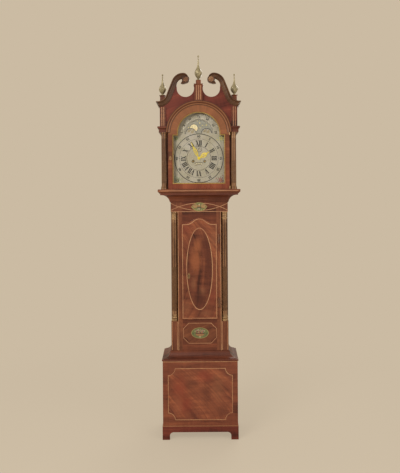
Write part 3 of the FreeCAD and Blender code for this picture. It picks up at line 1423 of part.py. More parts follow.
def train():
    mid = dial_centre_z
    x0, dz = third_arbor()
    third_z, escape_z = mid + dz, mid + seconds_dz
    centre = (0, mid)
    t = wheel_thickness

    toward = facing(barrel_x, mid + barrel_dz, *centre)
    great = gear(great_teeth, great_module, great_y0, great_y1, barrel_x, mid + barrel_dz,
                 winding_arbor_radius + pivot_clearance, toward, 6, wheel_rim, wheel_hub + wheel_rim)
    pad = rod(barrel_x + ratchet_radius + click_offset, mid + barrel_dz, great_y1, ratchet_y1, click_radius)
    finger = panel(outline(upright, (barrel_x + ratchet_radius + joint_gap, mid + barrel_dz + click_offset),
                           (barrel_x + ratchet_radius + click_offset, mid + barrel_dz),
                           (barrel_x + ratchet_radius + click_offset, mid + barrel_dz + click_radius)),
                   great_y1 + joint_gap, ratchet_y1)
    arm = box(barrel_x + wheel_hub, barrel_x + ratchet_radius + 2 * click_offset, great_y0, great_y1,
              mid + barrel_dz - click_radius, mid + barrel_dz + click_radius)
    arm = arm.cut(rod(barrel_x, mid + barrel_dz, great_y0 - overrun, great_y1 + overrun,
                      winding_arbor_radius + pivot_clearance))
    keep("going_great_wheel", great.fuse([arm, pad, finger]).removeSplitter())

    arbor = rod(0, mid, front_plate_y + plate_thickness, back_plate_y - run_gap, arbor_radius).fuse(
        [rod(0, mid, minute_hand_y, front_plate_y + plate_thickness, cannon_arbor_radius),
         rod(0, mid, back_plate_y - run_gap, back_plate_y + plate_thickness, pivot_radius)])
    pinion = gear(centre_pinion_leaves, great_module, centre_pinion_y0, centre_pinion_y1, *centre, 0,
                  toward + 180 + 180 / centre_pinion_leaves)
    toward = facing(*centre, x0, third_z)
    wheel = gear(centre_teeth, centre_module, centre_wheel_y0, centre_wheel_y0 + t, *centre, 0, toward, 5,
                 wheel_rim, wheel_hub)
    keep("center_wheel", arbor.fuse([pinion, wheel]).removeSplitter())

    pinion = gear(third_pinion_leaves, centre_module, third_pinion_y0, third_pinion_y1, x0, third_z, 0,
                  toward + 180 + 180 / third_pinion_leaves)
    toward = facing(x0, third_z, 0, escape_z)
    wheel = gear(third_teeth, third_module, third_wheel_y0, third_wheel_y0 + t, x0, third_z, 0, toward, 5,
                 wheel_rim, wheel_hub)
    keep("third_wheel", train_arbor(x0, third_z).fuse([pinion, wheel]).removeSplitter())

    pinion = gear(escape_pinion_leaves, third_module, escape_pinion_y0, escape_pinion_y1, 0, escape_z, 0,
                  toward + 180 + 180 / escape_pinion_leaves)
    keep("escape_wheel", train_arbor(0, escape_z, seconds_hand_y).fuse([pinion, escape_wheel(escape_z)])
         .removeSplitter())

    # Motion work behind the dial
    cannon = gear(motion_teeth, motion_module, cannon_y0, cannon_y0 + t, *centre, 0, -QUARTER_TURN)
    pipe = rod(0, mid, minute_hand_y, cannon_y0, cannon_pipe_radius)
    keep("center_wheel", cannon.fuse(pipe).cut(rod(0, mid, minute_hand_y - overrun, cannon_y0 + overrun,
                                                   cannon_arbor_radius)).removeSplitter())
    z = mid + motion_dz
    wheel = gear(motion_teeth, motion_module, cannon_y0, cannon_y0 + t, 0, z, 0,
                 QUARTER_TURN + HALF_TURN / motion_teeth)
    pinion = gear(minute_pinion_leaves, hour_module, minute_pinion_y0, minute_pinion_y1, 0, z, 0,
                  90 + 180 / minute_pinion_leaves)
    bar = rod(0, z, minute_pinion_y0 - run_gap - bridge_thickness, front_plate_y + plate_thickness,
              pivot_radius)
    keep("minute_wheel", wheel.fuse([pinion, bar]).removeSplitter())
    wheel = gear(hour_teeth, hour_module, hour_wheel_y0, hour_wheel_y0 + t, *centre, 0, -QUARTER_TURN, 5,
                 wheel_rim,
                 wheel_hub + wheel_rim)
    pipe = rod(0, mid, hour_hand_y, hour_wheel_y0, hour_pipe_radius)
    keep("hour_wheel", wheel.fuse(pipe).cut(rod(0, mid, hour_hand_y - overrun, hour_wheel_y0 + overrun,
                                                cannon_pipe_radius + pivot_clearance)).removeSplitter())


def escape_wheel(z):
    y0, y1 = escape_y0, escape_y0 + escape_thickness
    root = escape_radius * 0.8
    step = 2 * math.pi / escape_teeth
    points = []
    for i in range(escape_teeth):
        angle = i * step
        for radius, share in ((root, 0.06), (escape_radius, 0.62), (escape_radius, 0.68), (root, 0.72)):
            points.append((radius * math.cos(angle + share * step), radius * math.sin(angle + share * step)))
    blank = panel(outline(upright, points[0], *points[1:]), y0, y1)
    blank = blank.cut(crossings(root - wheel_rim / 2, wheel_hub * 0.7, 4, y0, y1))
    blank.translate(V(0, 0, z))
    return blank


def hand(hub, stem, loop_start, loop_end, loop_width, tip, bore, y, centre_z, degrees, thickness=None):
    """A hand drawn pointing up: hub, stem, a pierced leaf and a fine point, then turned clockwise."""
    t = hand_thickness if thickness is None else thickness
    shape = rod(0, 0, y, y + t, hub)
    middle = (loop_start + loop_end) / 2
    leaf = pointed_oval(0, 0, (loop_end - loop_start) / 2, loop_width / 2)
    parts = [box(-stem / 2, stem / 2, y, y + t, 0, loop_start + stem),
             panel(outline(upright, (-stem / 2, loop_end - stem), (stem / 2, loop_end - stem),
                           (stem / 6, tip), (-stem / 6, tip)), y, y + t)]
    blade = panel(leaf, y, y + t)
    inner = panel(pointed_oval(0, 0, (loop_end - loop_start) / 2 - 2 * stem, loop_width / 2 - stem * 0.8),
                  y - overrun, y + t + overrun)
    blade = blade.cut(inner)
    blade.rotate(V(0, 0, 0), Y_AXIS, QUARTER_TURN)
    blade.translate(V(0, 0, middle))
    parts.append(blade)
    shape = shape.fuse(parts)
    shape = shape.cut(rod(0, 0, y - overrun, y + t + overrun, bore)).removeSplitter()
    shape.rotate(V(0, 0, 0), Y_AXIS, degrees)
    shape.translate(V(0, 0, centre_z))
    return shape


def hands():
    mid = dial_centre_z
    keep("minute_hand", hand(minute_hub, minute_stem, minute_leaf_start, minute_leaf_end, minute_leaf_width,
                             minute_tip, cannon_pipe_radius, minute_hand_y, mid, minute_angle))
    keep("hour_hand", hand(hour_hub, hour_stem, hour_leaf_start, hour_leaf_end, hour_leaf_width, hour_tip,
                           hour_pipe_radius, hour_hand_y, mid, hour_angle))
    z = mid + seconds_dz
    needle = panel(outline(upright, (-seconds_width, -seconds_tail), (seconds_width, -seconds_tail),
                           (seconds_width / 3, seconds_length), (-seconds_width / 3, seconds_length)),
                   seconds_hand_y, seconds_hand_y + disc_thickness)
    needle = needle.fuse(rod(0, 0, seconds_hand_y, seconds_hand_y + disc_thickness, seconds_hub))
    needle = needle.cut(rod(0, 0, seconds_hand_y - overrun, seconds_hand_y + overrun, pivot_radius))
    needle.rotate(V(0, 0, 0), Y_AXIS, seconds_angle)
    needle.translate(V(0, 0, z))
    keep("seconds_hand", needle.removeSplitter())


def barrel(side):
    """Drum, flanges and winding arbor of one side."""
    x, z = side * barrel_x, dial_centre_z + barrel_dz
    drum = rod(x, z, barrel_start_y, barrel_end_y, barrel_drum_radius)
    t = barrel_flange_thickness
    parts = [rod(x, z, barrel_start_y, barrel_start_y + t, barrel_flange_radius),
             rod(x, z, barrel_end_y - t, barrel_end_y, barrel_flange_radius),
             rod(x, z, winding_end_y + winding_length, barrel_end_y, winding_arbor_radius),
             rod(x, z, barrel_end_y, back_plate_y + plate_thickness, arbor_radius),
             square_bar(x, z, winding_end_y, winding_end_y + winding_length, winding_square)]
    return drum.fuse(parts)


def barrels():
    x, z = barrel_x, dial_centre_z + barrel_dz
    step = 2 * math.pi / ratchet_teeth
    points = []
    for i in range(ratchet_teeth):
        for radius, share in ((ratchet_radius - click_radius, 0.05), (ratchet_radius, 0.85)):
            points.append((x + radius * math.cos((i + share) * step),
                           z + radius * math.sin((i + share) * step)))
    ratchet = panel(outline(upright, points[0], *points[1:]), ratchet_y0, barrel_start_y)
    keep("going_barrel", barrel(1).fuse(ratchet).removeSplitter())
    wheel = gear(strike_wheel_teeth, motion_module, strike_wheel_y0, strike_wheel_y0 + wheel_thickness, -x,
                 z, 0,
                 0, 6, wheel_rim, wheel_hub)
    keep("strike_barrel", barrel(-1).fuse(wheel).removeSplitter())


def line_path(side):
    """One gut line: from its knot on the seatboard, down and round the pulley, then up to the barrel."""
    x, r = side * barrel_x, barrel_drum_radius + line_radius
    top = dial_centre_z + barrel_dz
    knot_z = cheek_top_z + seat_thickness
    y = weight_y
    down = Part.LineSegment(V(x + r, y, knot_z), V(x + r, y, pulley_z)).toShape()
    under = Part.Arc(V(x + r, y, pulley_z), V(x, y, pulley_z - r), V(x - r, y, pulley_z)).toShape()
    up = Part.LineSegment(V(x - r, y, pulley_z), V(x - r, y, top)).toShape()
    over = Part.Arc(V(x - r, y, top), V(x - r * math.sqrt(0.5), y, top + r * math.sqrt(0.5)),
                    V(x, y, top + r)).toShape()
    return Part.Wire([down, under, up, over])


def lines():
    for name, side in (("going", 1), ("strike", -1)):
        wire = line_path(side)
        x = side * barrel_x + barrel_drum_radius + line_radius
        knot_z = cheek_top_z + seat_thickness
        ring = Part.Wire(Part.Circle(V(x, weight_y, knot_z), Z_AXIS, line_radius - line_slack).toShape())
        tube = wire.makePipeShell([ring], True, True)
        knot = Part.makeSphere(2 * line_radius, V(x, weight_y, knot_z + 2 * line_radius))
        keep(name + "_line", tube.fuse(knot).removeSplitter())


def weights():
    y = weight_y
    for name, side in (("going", 1), ("strike", -1)):
        x = side * barrel_x
        low, r = weight_top_z - weight_height, weight_radius
        edge = r / 6
        body = turned(x, y, low, (0, 0), (r - edge, 0),
                      ((r - edge * (1 - math.sqrt(0.5)), edge * (1 - math.sqrt(0.5))), (r, edge)),
                      (r, weight_height - edge), ((r - edge * 1.6, weight_height - edge * 0.3),
                                                  (0, weight_height)))
        half = pulley_thickness / 2 + stirrup_gap
        foot = weight_top_z + stirrup_stem
        stem = post(x, y, weight_top_z - edge, foot, stirrup_stem_radius)
        bridge = box(x - stirrup_half, x + stirrup_half, y - half - stirrup_thickness,
                     y + half + stirrup_thickness, foot, foot + stirrup_thickness)
        cheeks = [box(x - stirrup_half, x + stirrup_half, a, a + stirrup_thickness, foot,
                      pulley_z + stirrup_half) for a in (y - half - stirrup_thickness, y + half)]
        axle = rod(x, pulley_z, y - half - stirrup_thickness, y + half + stirrup_thickness, stud_radius)
        keep(name + "_weight", body.fuse([stem, bridge, axle] + cheeks).removeSplitter())
        keep(name + "_pulley", pulley(x, y))


def pulley(x, y):
    t, r, g = pulley_thickness / 2, pulley_radius, pulley_groove_radius
    bore = stud_radius + pivot_clearance
    wire = outline(lambda u, v: V(u, v, 0), (bore, -t), (r, -t), (r, -t * 0.6), (g, -line_radius),
                   (g, line_radius), (r, t * 0.6), (r, t), (bore, t))
    shape = Part.Face(wire).revolve(V(0, 0, 0), Y_AXIS, 360)
    shape.translate(V(x, y, pulley_z))
    return shape


# Pendulum suspension, crutch and anchor


def pendulum():
    y, top = pendulum_y, dial_centre_z + anchor_dz
    bob_z = top - pendulum_length
    half = rod_thickness / 2
    strip = box(-rod_width / 2, rod_width / 2, y - half, y + half, bob_z - bob_radius - rod_tail, top)
    eye = rod(0, top, y - half, y + half, rod_width / 2)
    pin = rod(0, top, y - half - 2 * cock_plate - run_gap, y + half + 2 * cock_plate + run_gap, pivot_radius)
    nut = post(0, y, bob_z - bob_radius - 2 * nut_height, bob_z - bob_radius - nut_height, nut_radius)
    keep("pendulum_rod", strip.fuse([eye, pin, nut]).removeSplitter())
    thick = bob_thickness / 2
    swell = (bob_radius * bob_radius + thick * thick) / (2 * thick)
    balls = [Part.makeSphere(swell, V(0, y + side * (swell - thick), bob_z)) for side in SIDES]
    bob = rod(0, bob_z, y - thick, y + thick, bob_radius - joint_gap).common(balls[0]).common(balls[1])
    keep("pendulum_bob", bob.cut(strip))


def anchor():
    top = dial_centre_z + anchor_dz
    wheel_z = dial_centre_z + seconds_dz
    y0, y1 = escape_y0, escape_y0 + escape_thickness
    bar = rod(0, top, front_plate_y + plate_thickness + run_gap, back_plate_y - run_gap,
              pivot_radius * 1.2).fuse(
        [rod(0, top, front_plate_y, front_plate_y + plate_thickness + run_gap, pivot_radius),
         rod(0, top, back_plate_y - run_gap, crutch_y + crutch_thickness, arbor_radius)])
    # Pallets clear the wheel by the same gap on both sides
    reach = escape_radius + pallet_gap
    lift = math.degrees(math.acos(escape_radius / (top - wheel_z)))
    tips = [arc_point(0, wheel_z, reach, QUARTER_TURN - side * lift) for side in SIDES]
    backs = [arc_point(0, wheel_z, reach + pallet_depth, QUARTER_TURN - side * lift) for side in SIDES]
    arms = []
    for (tx, tz), (bx, bz) in zip(tips, backs):
        sx = 1 if tx > 0 else -1
        w = pallet_depth / 2
        arms.append(panel(outline(upright, (0, top + w), (bx + sx * w, bz + w), (bx + sx * w, bz - w),
                                  (tx, tz), (bx - sx * w, bz), (0, top - w)), y0, y1))
    z = top - crutch_length
    stem = box(-crutch_width / 2, crutch_width / 2, crutch_y, crutch_y + crutch_thickness, z, top)
    x0 = rod_width / 2 + fork_gap
    bridge = box(-x0 - fork_thickness, x0 + fork_thickness, crutch_y, crutch_y + crutch_thickness,
                 z - crutch_width, z)
    prongs = both(box(x0, x0 + fork_thickness, crutch_y, crutch_end_y, z - crutch_width, z))
    keep("anchor", bar.fuse(arms + [stem, bridge] + prongs).removeSplitter())


def back_cock():
    y, top = pendulum_y, dial_centre_z + anchor_dz
    half = rod_thickness / 2 + run_gap
    rear = y + half + cock_plate
    roof_z0 = top + cock_drop
    hole = rod(0, top, back_plate_y, rear + overrun, pivot_radius + pivot_clearance)
    plates = [box(-cock_half, cock_half, a, a + cock_plate, top - cock_drop / 2, roof_z0)
              for a in (y - half - cock_plate, y + half)]
    roof = box(-cock_half, cock_half, back_plate_y + plate_thickness, rear, roof_z0, plate_top_z)
    keep("movement_frame", roof.fuse([p.cut(hole) for p in plates]).removeSplitter())


def cap_middle(radius, height):
    """A point half way up the side of a domed cap."""
    ball = (radius * radius + height * height) / (2 * height)
    across = radius / math.sqrt(2)
    return across, height - ball + math.sqrt(ball * ball - across * across)


def bell():
    r, h, w = bell_radius, bell_height, bell_wall
    y, z = bell_y, bell_mouth_z
    crown = h - w
    shell = turned(0, y, z, (r - w, 0), (r, 0), (cap_middle(r, h), (0, h)), (0, crown),
                   (cap_middle(r - w, crown), (r - w, 0)))
    stem = bell_stem_radius
    bar_z = (z + plate_top_z) / 2
    keep("bell", shell.cut(post(0, y, z, z + h + overrun, stem)))
    start = V(bell_arm_x, back_plate_y - stem, bar_z)
    end = V(0, y, bar_z)
    run = end.sub(start)
    arm = Part.makeCylinder(stem, run.Length, start, run)
    foot = box(bell_arm_x - stem, bell_arm_x + stem, back_plate_y - 2 * stem, back_plate_y,
               plate_top_z - 4 * stem,
               bar_z + stem)
    column = post(0, y, bar_z - stem, z + h + stem, stem)
    nut = post(0, y, z + h, z + h + stem, 2 * stem)
    keep("movement_frame", foot.fuse([arm, column, nut]).removeSplitter())


def hammer():
    x, z = hammer_x, dial_centre_z + hammer_dz
    y = hammer_y
    head_x = -bell_radius - hammer_gap
    head_z = bell_mouth_z + hammer_radius / 2
    knee_z = plate_top_z + hammer_rod_radius * 3
    reach = head_x - hammer_length / 2
    r = hammer_rod_radius
    arbor = train_arbor(x, z)
    arm = box(x - r, x + r, y - r, y + r, z, knee_z + r)
    across = box(reach - r, x - r, y - r, y + r, knee_z - r, knee_z + r)
    rise = box(reach - r, reach + r, y - r, y + r, knee_z + r, head_z)
    head = Part.makeCylinder(hammer_radius, hammer_length, V(head_x - hammer_length, y, head_z), X_AXIS)
    keep("hammer", arbor.fuse([arm, across, rise, head]).removeSplitter())


builders = (backboard, base, feet, waist, corner_columns, waist_door, waist_hinges, case_inlay, paterae,
            under_hood, seatboard, swan_necks, tympanum, hood_mouldings, hood_frame, hood_columns, plinths,
            finials, hood_door, dial, movement_frame, train, hands, barrels, lines, weights, pendulum, anchor,
            back_cock, bell, hammer)
os.makedirs("parts", exist_ok=True)
for make in builders:
    make()
for name, solids in solids_by_node.items():
    shape = solids[0] if len(solids) == 1 else Part.makeCompound(solids)
    if not shape.isValid():
        print("not valid:", name)
    shape.exportStep("parts/" + name + ".step")
print(len(solids_by_node), "nodes written")
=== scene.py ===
import bpy
import bmesh
import math
from mathutils import Matrix, Vector


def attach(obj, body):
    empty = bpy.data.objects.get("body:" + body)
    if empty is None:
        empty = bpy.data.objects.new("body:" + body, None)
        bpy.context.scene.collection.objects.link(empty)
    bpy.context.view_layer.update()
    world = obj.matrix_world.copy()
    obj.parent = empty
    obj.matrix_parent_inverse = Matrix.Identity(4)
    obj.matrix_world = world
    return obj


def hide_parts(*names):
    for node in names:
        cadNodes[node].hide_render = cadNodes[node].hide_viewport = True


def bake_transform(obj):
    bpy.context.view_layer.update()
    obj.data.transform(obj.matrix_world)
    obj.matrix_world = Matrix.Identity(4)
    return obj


# Longcase clock: the finishes, the painted dial, the inlaid ornament and the carved and turned brass pieces
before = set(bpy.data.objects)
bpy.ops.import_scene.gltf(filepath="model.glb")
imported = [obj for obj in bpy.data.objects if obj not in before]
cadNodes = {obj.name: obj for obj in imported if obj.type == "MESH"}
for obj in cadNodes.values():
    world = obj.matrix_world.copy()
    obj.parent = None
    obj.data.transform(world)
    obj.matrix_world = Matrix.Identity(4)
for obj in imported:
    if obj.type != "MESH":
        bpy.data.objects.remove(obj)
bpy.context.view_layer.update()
mm = 0.001


# Node trees: what every finish is written with

pen = {"tree": None}  # the node tree that is being written
finishes = {}


class Wire:  # an output of a node; the signs + - * < > between it and a wire or number add a Math node
    def __init__(self, socket):
        self.socket = socket

    def math(self, operation, other=0.0):
        return node("Math", self, other, operation=operation)[0]

    def __add__(self, other):
        return self.math("ADD", other)

    def __sub__(self, other):
        return self.math("SUBTRACT", other)

    def __mul__(self, other):
        return self.math("MULTIPLY", other)

    def __lt__(self, other):
        return self.math("LESS_THAN", other)

    def __gt__(self, other):
        return self.math("GREATER_THAN", other)


def tint(colour):  # from the 0-255 scale to what a shader socket wants
    flat = [v / 255 for v in colour]
    return [v / 12.92 if v <= 0.04045 else ((v + 0.055) / 1.055) ** 2.4 for v in flat] + [1.0]


def plug(socket, value):  # a wire is linked; a colour in three numbers is on the 0-255 scale
    if isinstance(value, Wire):
        pen["tree"].links.new(value.socket, socket)
    elif value is not None:
        socket.default_value = tint(value) if socket.type == "RGBA" and len(value) == 3 else value


def node(kind, *values, **named):  # values fill the inputs in turn; the name of an input has a capital
    made = pen["tree"].nodes.new("ShaderNode" + kind)
    for key, value in named.items():
        if key[0].islower():
            setattr(made, key, value)
    for index, value in enumerate(values):
        plug(made.inputs[index], value)
    for key, value in named.items():
        if key[0].isupper():
            plug(made.inputs[key.replace("_", " ")], value)
    outs = {}
    for index, socket in enumerate(made.outputs):
        outs[index] = outs[socket.name] = Wire(socket)
    return outs


def openTree(owner):
    owner.use_nodes = True
    owner.node_tree.nodes.clear()
    pen["tree"] = owner.node_tree


def newMaterial(name):  # gives the place of a point in its object
    material = bpy.data.materials.new(name)
    openTree(material)
    finishes[name] = material
    return node("TexCoord")["Object"]


def vectorMath(operation, *values):
    return node("VectorMath", *values, operation=operation)[1 if operation == "LENGTH" else 0]


def ramp(value, low, high, start=0.0, stop=1.0, how="SMOOTHSTEP"):
    return node("MapRange", value, low, high, start, stop, interpolation_type=how)[0]


def mix(factor, first, second, how="MIX"):
    unused = [None] * 5  # the inputs for numbers and vectors
    return node("Mix", factor, *unused, first, second, data_type="RGBA", blend_type=how, clamp_factor=True)[2]


def noise(place, scale, detail, rough=0.5):
    return node("TexNoise", Vector=place, Scale=scale, Detail=detail, Roughness=rough)


def split(place):
    outs = node("SeparateXYZ", place)
    return outs["X"], outs["Y"], outs["Z"]


def at(*lengths):  # from millimetres to metres
    return [length * mm for length in lengths]


# Camera, light and floor

view = {
    "cameraPlace": (0.006, -3.62, 1.58),
    "cameraRoll": 0.38,           # degrees, the clock leans a little to the left
    "lens": 41.99,
    "shiftDown": -0.0974,
    "paper": (203, 187, 163),     # the tan behind the clock
    "skyStrength": 0.62,
    "floorFadeFrom": 0.9,
    "floorFadeTo": 2.6,
    "floorPlain": 0.68,           # how little of the shadow under the feet is seen
}
lamps = {
    "key": {"place": (-2.1, -3.0, 3.3), "size": 1.9, "power": 88, "aim": (0, 0, 1.3)},
    "fill": {"place": (2.6, -2.6, 1.8), "size": 2.4, "power": 34, "aim": (0, 0, 1.2)},
    "rim": {"place": (1.2, 2.6, 3.2), "size": 2.0, "power": 40, "aim": (0, 0, 1.5)},
}
upright = (math.radians(90), 0, 0)  # turns what is made lying on the floor to face the front


def setUpView():
    scene = bpy.context.scene
    scene.view_settings.view_transform = "Standard"
    bpy.ops.object.camera_add(location=view["cameraPlace"],
                              rotation=(math.radians(90), math.radians(view["cameraRoll"]), 0))
    camera = bpy.context.object
    camera.name = "photoCamera"
    camera.data.lens = view["lens"]
    camera.data.shift_y = view["shiftDown"]
    scene.camera = camera
    for name, lamp in lamps.items():
        bpy.ops.object.light_add(type="AREA", location=lamp["place"])
        light = bpy.context.object
        light.name = name + "Light"
        light.data.size = lamp["size"]
        light.data.energy = lamp["power"]
        toward = Vector(lamp["aim"]) - Vector(lamp["place"])
        light.rotation_euler = toward.to_track_quat("-Z", "Y").to_euler()


def setUpWorld():
    world = bpy.data.worlds.new("studio")
    bpy.context.scene.world = world
    openTree(world)
    path = node("LightPath")
    through = path["Is Glossy Ray"].math("MAXIMUM", path["Is Transmission Ray"])
    seen = path["Is Camera Ray"].math("MAXIMUM", through)
    lit = node("Background", Color=(1, 1, 1, 1), Strength=view["skyStrength"])[0]
    shown = node("Background", Color=view["paper"], Strength=1.0)[0]
    node("OutputWorld", Surface=node("MixShader", seen, lit, shown)[0])


def makeFloor():
    bpy.ops.mesh.primitive_circle_add(vertices=64, radius=9, fill_type="NGON")
    floor = bpy.context.object
    floor.name = "paleFloor"
    reach = vectorMath("LENGTH", newMaterial("paleFloor"))
    far = ramp(reach, view["floorFadeFrom"], view["floorFadeTo"], view["floorPlain"])
    near = node("BsdfDiffuse", Color=view["paper"])[0]
    glow = node("Emission", Color=view["paper"], Strength=1.0)[0]
    plain = far * node("LightPath")["Is Camera Ray"]
    node("OutputMaterial", Surface=node("MixShader", plain, near, glow)[0])
    floor.data.materials.append(finishes["paleFloor"])


setUpView()
setUpWorld()
makeFloor()
print("stage: camera, lights and floor")


# Shader groups: each function gets the group's inputs and gives its outputs

# scale across and along the grain, detail, roughness
grainScales = ((15, 1.5, 3), (105, 3.2, 5, 0.68), (9, 46, 3), (900, 42, 1))


def stretched(x, y, z, across, along, detail, rough=0.55):
    return noise(node("CombineXYZ", x * across, y * across, z * along)[0], 1.0, detail, rough)[0]


def woodGrain(place, sweep, figure, light, middle, dark):  # the grain runs along Z of the place
    x, y, z = split(place)
    x = x + (noise(place, 4.5, 2.0)[0] - 0.5) * 0.055 + z * z * sweep
    broad, streak, ripple, pores = [stretched(x, y, z, *scale) for scale in grainScales]
    pit = ramp(pores, 0.6, 0.72)
    tone = broad * 0.62 + streak * 0.38 + (ripple - 0.5) * figure * 0.9
    lower = mix(ramp(tone, 0.34, 0.5), dark, middle)
    full = mix(ramp(tone, 0.49, 0.66), lower, light)
    return mix(pit * 0.42, full, dark), tone, streak * 0.35 + pit * -0.2


def softSpot(place, centre, size, raggedness, core):  # one in the middle, fading to nothing at the rim
    away = vectorMath("SUBTRACT", place, centre)
    reach = vectorMath("LENGTH", vectorMath("DIVIDE", away, size))
    return [ramp(reach + (noise(place, 26.0, 4.0)[0] - 0.5) * raggedness, core, 1.0, 1.0, 0.0)]


def insideBox(place, centre, half, corner):  # one in an upright rectangle with its corners cut by circles
    folded = vectorMath("ABSOLUTE", vectorMath("SUBTRACT", place, centre))
    x, y, z = split(vectorMath("SUBTRACT", half, folded))
    return [(x.math("MINIMUM", z) > 0.0) * ((x * x + z * z).math("POWER", 0.5) > corner)]


def oldPolish(place, colour, gloss, grime):  # wax that has gone uneven, with dust darkening it in random patches
    cloud = noise(place, 7.0, 5.0, 0.62)[0]
    wearAndHighlight = mix(ramp(cloud, 0.36, 0.68) * grime, colour, (0.62, 0.5, 0.42, 1), "MULTIPLY")
    return wearAndHighlight, gloss + (cloud - 0.5) * 0.3, noise(place, 70.0, 3.0)[0]


def oldMetal(place, bright, dull, age):
    cloud = noise(place, 38.0, 6.0, 0.65)[0]
    specks = noise(place, 320.0, 2.0)[0]
    whole = ramp(cloud, 0.38, 0.66) * age + ramp(specks, 0.6, 0.7) * age * 0.5
    return mix(whole, bright, dull), ramp(whole, 0.0, 1.0, 0.24, 0.55), cloud + specks


def oldPaint(place, colour, yellow, cracks):  # fine cracks, yellowed patches and a little soot
    shake = vectorMath("MULTIPLY", noise(place, 40.0, 2.0)["Color"], (0.006, 0.006, 0.006))
    cells = node("TexVoronoi", Vector=vectorMath("ADD", place, shake), Scale=55.0, feature="DISTANCE_TO_EDGE")
    crack = ramp(cells["Distance"], 0.0, 0.035, 1.0, 0.0)
    cloud = noise(place, 9.0, 5.0, 0.6)[0]
    toned = mix(ramp(cloud, 0.35, 0.7), colour, yellow)
    lined = mix(crack * cracks, toned, (0.08, 0.055, 0.035, 1))
    return lined, ramp(cloud, 0.3, 0.7, 0.38, 0.52), crack * -1.0


groups = (
    (woodGrain, "Vector Sweep Figure Light Middle Dark", "Color Tone Height"),
    (softSpot, "Vector Centre Size Raggedness Core", "Mask"),
    (insideBox, "Vector Centre Half Corner", "Mask"),
    (oldPolish, "Vector Color Gloss Grime", "Color Roughness Height"),
    (oldMetal, "Vector Bright Dull Age", "Color Roughness Height"),
    (oldPaint, "Vector Color Yellow Cracks", "Color Roughness Height"),
)
labelKinds = {"Vector": "Vector Centre Size Half", "Color": "Color Light Middle Dark Bright Dull Yellow"}


def addSockets(tree, direction, labels):
    for label in labels.split():
        kinds = [kind for kind, known in labelKinds.items() if label in known.split()] or ["Float"]
        tree.interface.new_socket(name=label, in_out=direction, socket_type="NodeSocket" + kinds[0])


def makeGroup(build, ins, outs):
    tree = bpy.data.node_groups.new(build.__name__, "ShaderNodeTree")
    addSockets(tree, "INPUT", ins)
    addSockets(tree, "OUTPUT", outs)
    pen["tree"] = tree
    start = tree.nodes.new("NodeGroupInput")
    end = tree.nodes.new("NodeGroupOutput")
    results = build(*[Wire(start.outputs[label]) for label in ins.split()])
    for socket, wire in zip(end.inputs, results):
        plug(socket, wire)


def group(name, *values):
    return node("Group", *values, node_tree=bpy.data.node_groups[name])


for build, groupIns, groupOuts in groups:
    makeGroup(build, groupIns, groupOuts)
print("stage: shader groups")


# Finishes of the wood

woodLooks = {  # light, middle and dark of the grain, how figured, how bowed and how dull it is
    "mahogany": ((140, 82, 52), (110, 61, 39), (76, 39, 26), 0.18, 0.0, 0.34),
    "darkMahogany": ((130, 70, 45), (97, 49, 32), (60, 28, 19), 0.12, 0.0, 0.42),
    "redMahogany": ((130, 63, 44), (108, 47, 34), (74, 30, 22), 0.2, 0.0, 0.33),
    "flame": ((166, 96, 60), (124, 66, 43), (80, 37, 25), 0.42, 1.5, 0.3),
    "baseFlame": ((158, 90, 58), (124, 67, 45), (98, 50, 35), 0.34, 0.9, 0.32),
    "darkFlame": ((134, 76, 48), (106, 56, 38), (64, 31, 22), 0.4, 0.7, 0.28),
    "crossband": ((154, 92, 57), (116, 66, 41), (78, 42, 27), 0.22, 0.0, 0.32),
    # darker wood that paints the shade on the swan necks and on the sunk ground of the rosettes
    "scrollBrown": ((112, 78, 52), (84, 54, 34), (54, 32, 19), 0.16, 0.0, 0.36),
    "warmBand": ((146, 82, 53), (120, 64, 43), (84, 42, 29), 0.18, 0.0, 0.36),
    # darker wood that paints the shade in the flutes of the columns, and below it paler wood that paints
    # highlights on the ridges
    "column": ((138, 98, 63), (112, 75, 48), (72, 46, 28), 0.1, 0.0, 0.4),
    "ridge": ((196, 156, 110), (176, 134, 90), (136, 96, 62), 0.1, 0.0, 0.4),
    # paler wood that paints highlights on the rosette petals
    "wornScroll": ((168, 128, 90), (138, 96, 64), (88, 54, 34), 0.2, 0.0, 0.4),
    "pine": ((170, 132, 92), (140, 102, 66), (98, 66, 42), 0.08, 0.0, 0.62),
}
plainWoods = {  # a look, and how far the grain is turned from upright
    "uprightMahogany": ("mahogany", 0),
    "sideMahogany": ("darkMahogany", 0),
    "railMahogany": ("mahogany", 90),
    "mouldingMahogany": ("darkMahogany", 90),
    # the rosette's sunk ground in the shaded wood and its petals in the lit wood: painted shade and painted
    # highlight
    "rosetteWood": ("scrollBrown", 40),
    "rosettePetal": ("wornScroll", 40),
    "scrollBrown": ("scrollBrown", 62),
    "pineBoards": ("pine", 0),
}


def alongGrain(place, look):
    light, middle, dark, figure, sweep, gloss = woodLooks[look]
    return group("woodGrain", place, sweep, figure, light, middle, dark)


def grain(place, look, turn=0, centre=(0, 0, 0)):  # degrees about Y, and the middle of the veneer in metres
    turned = node("Mapping", place, centre, (0, math.radians(turn), 0), vector_type="TEXTURE")
    return alongGrain(turned[0], look)


def surface(**inputs):
    node("OutputMaterial", Surface=node("BsdfPrincipled", **inputs)[0])


def bump(strength, distance, height):
    return node("Bump", Strength=strength, Distance=distance, Height=height)[0]


def polished(place, colour, height, look, grime=0.35):
    polish = group("oldPolish", place, colour, woodLooks[look][5], grime)
    relief = height * 0.7 + polish["Height"] * 0.5
    surface(Base_Color=polish["Color"], Roughness=polish["Roughness"], Normal=bump(0.22, 0.0012, relief),
            Coat_Weight=0.05, Coat_Roughness=0.28, Specular_IOR_Level=0.28)


def softMask(place, centre, size, ragged, core):
    return group("softSpot", place, at(*centre), at(*size), ragged, core)[0]


def boxMask(place, centre, half, corner):
    return group("insideBox", place, at(*centre), at(*half), corner * mm)[0]
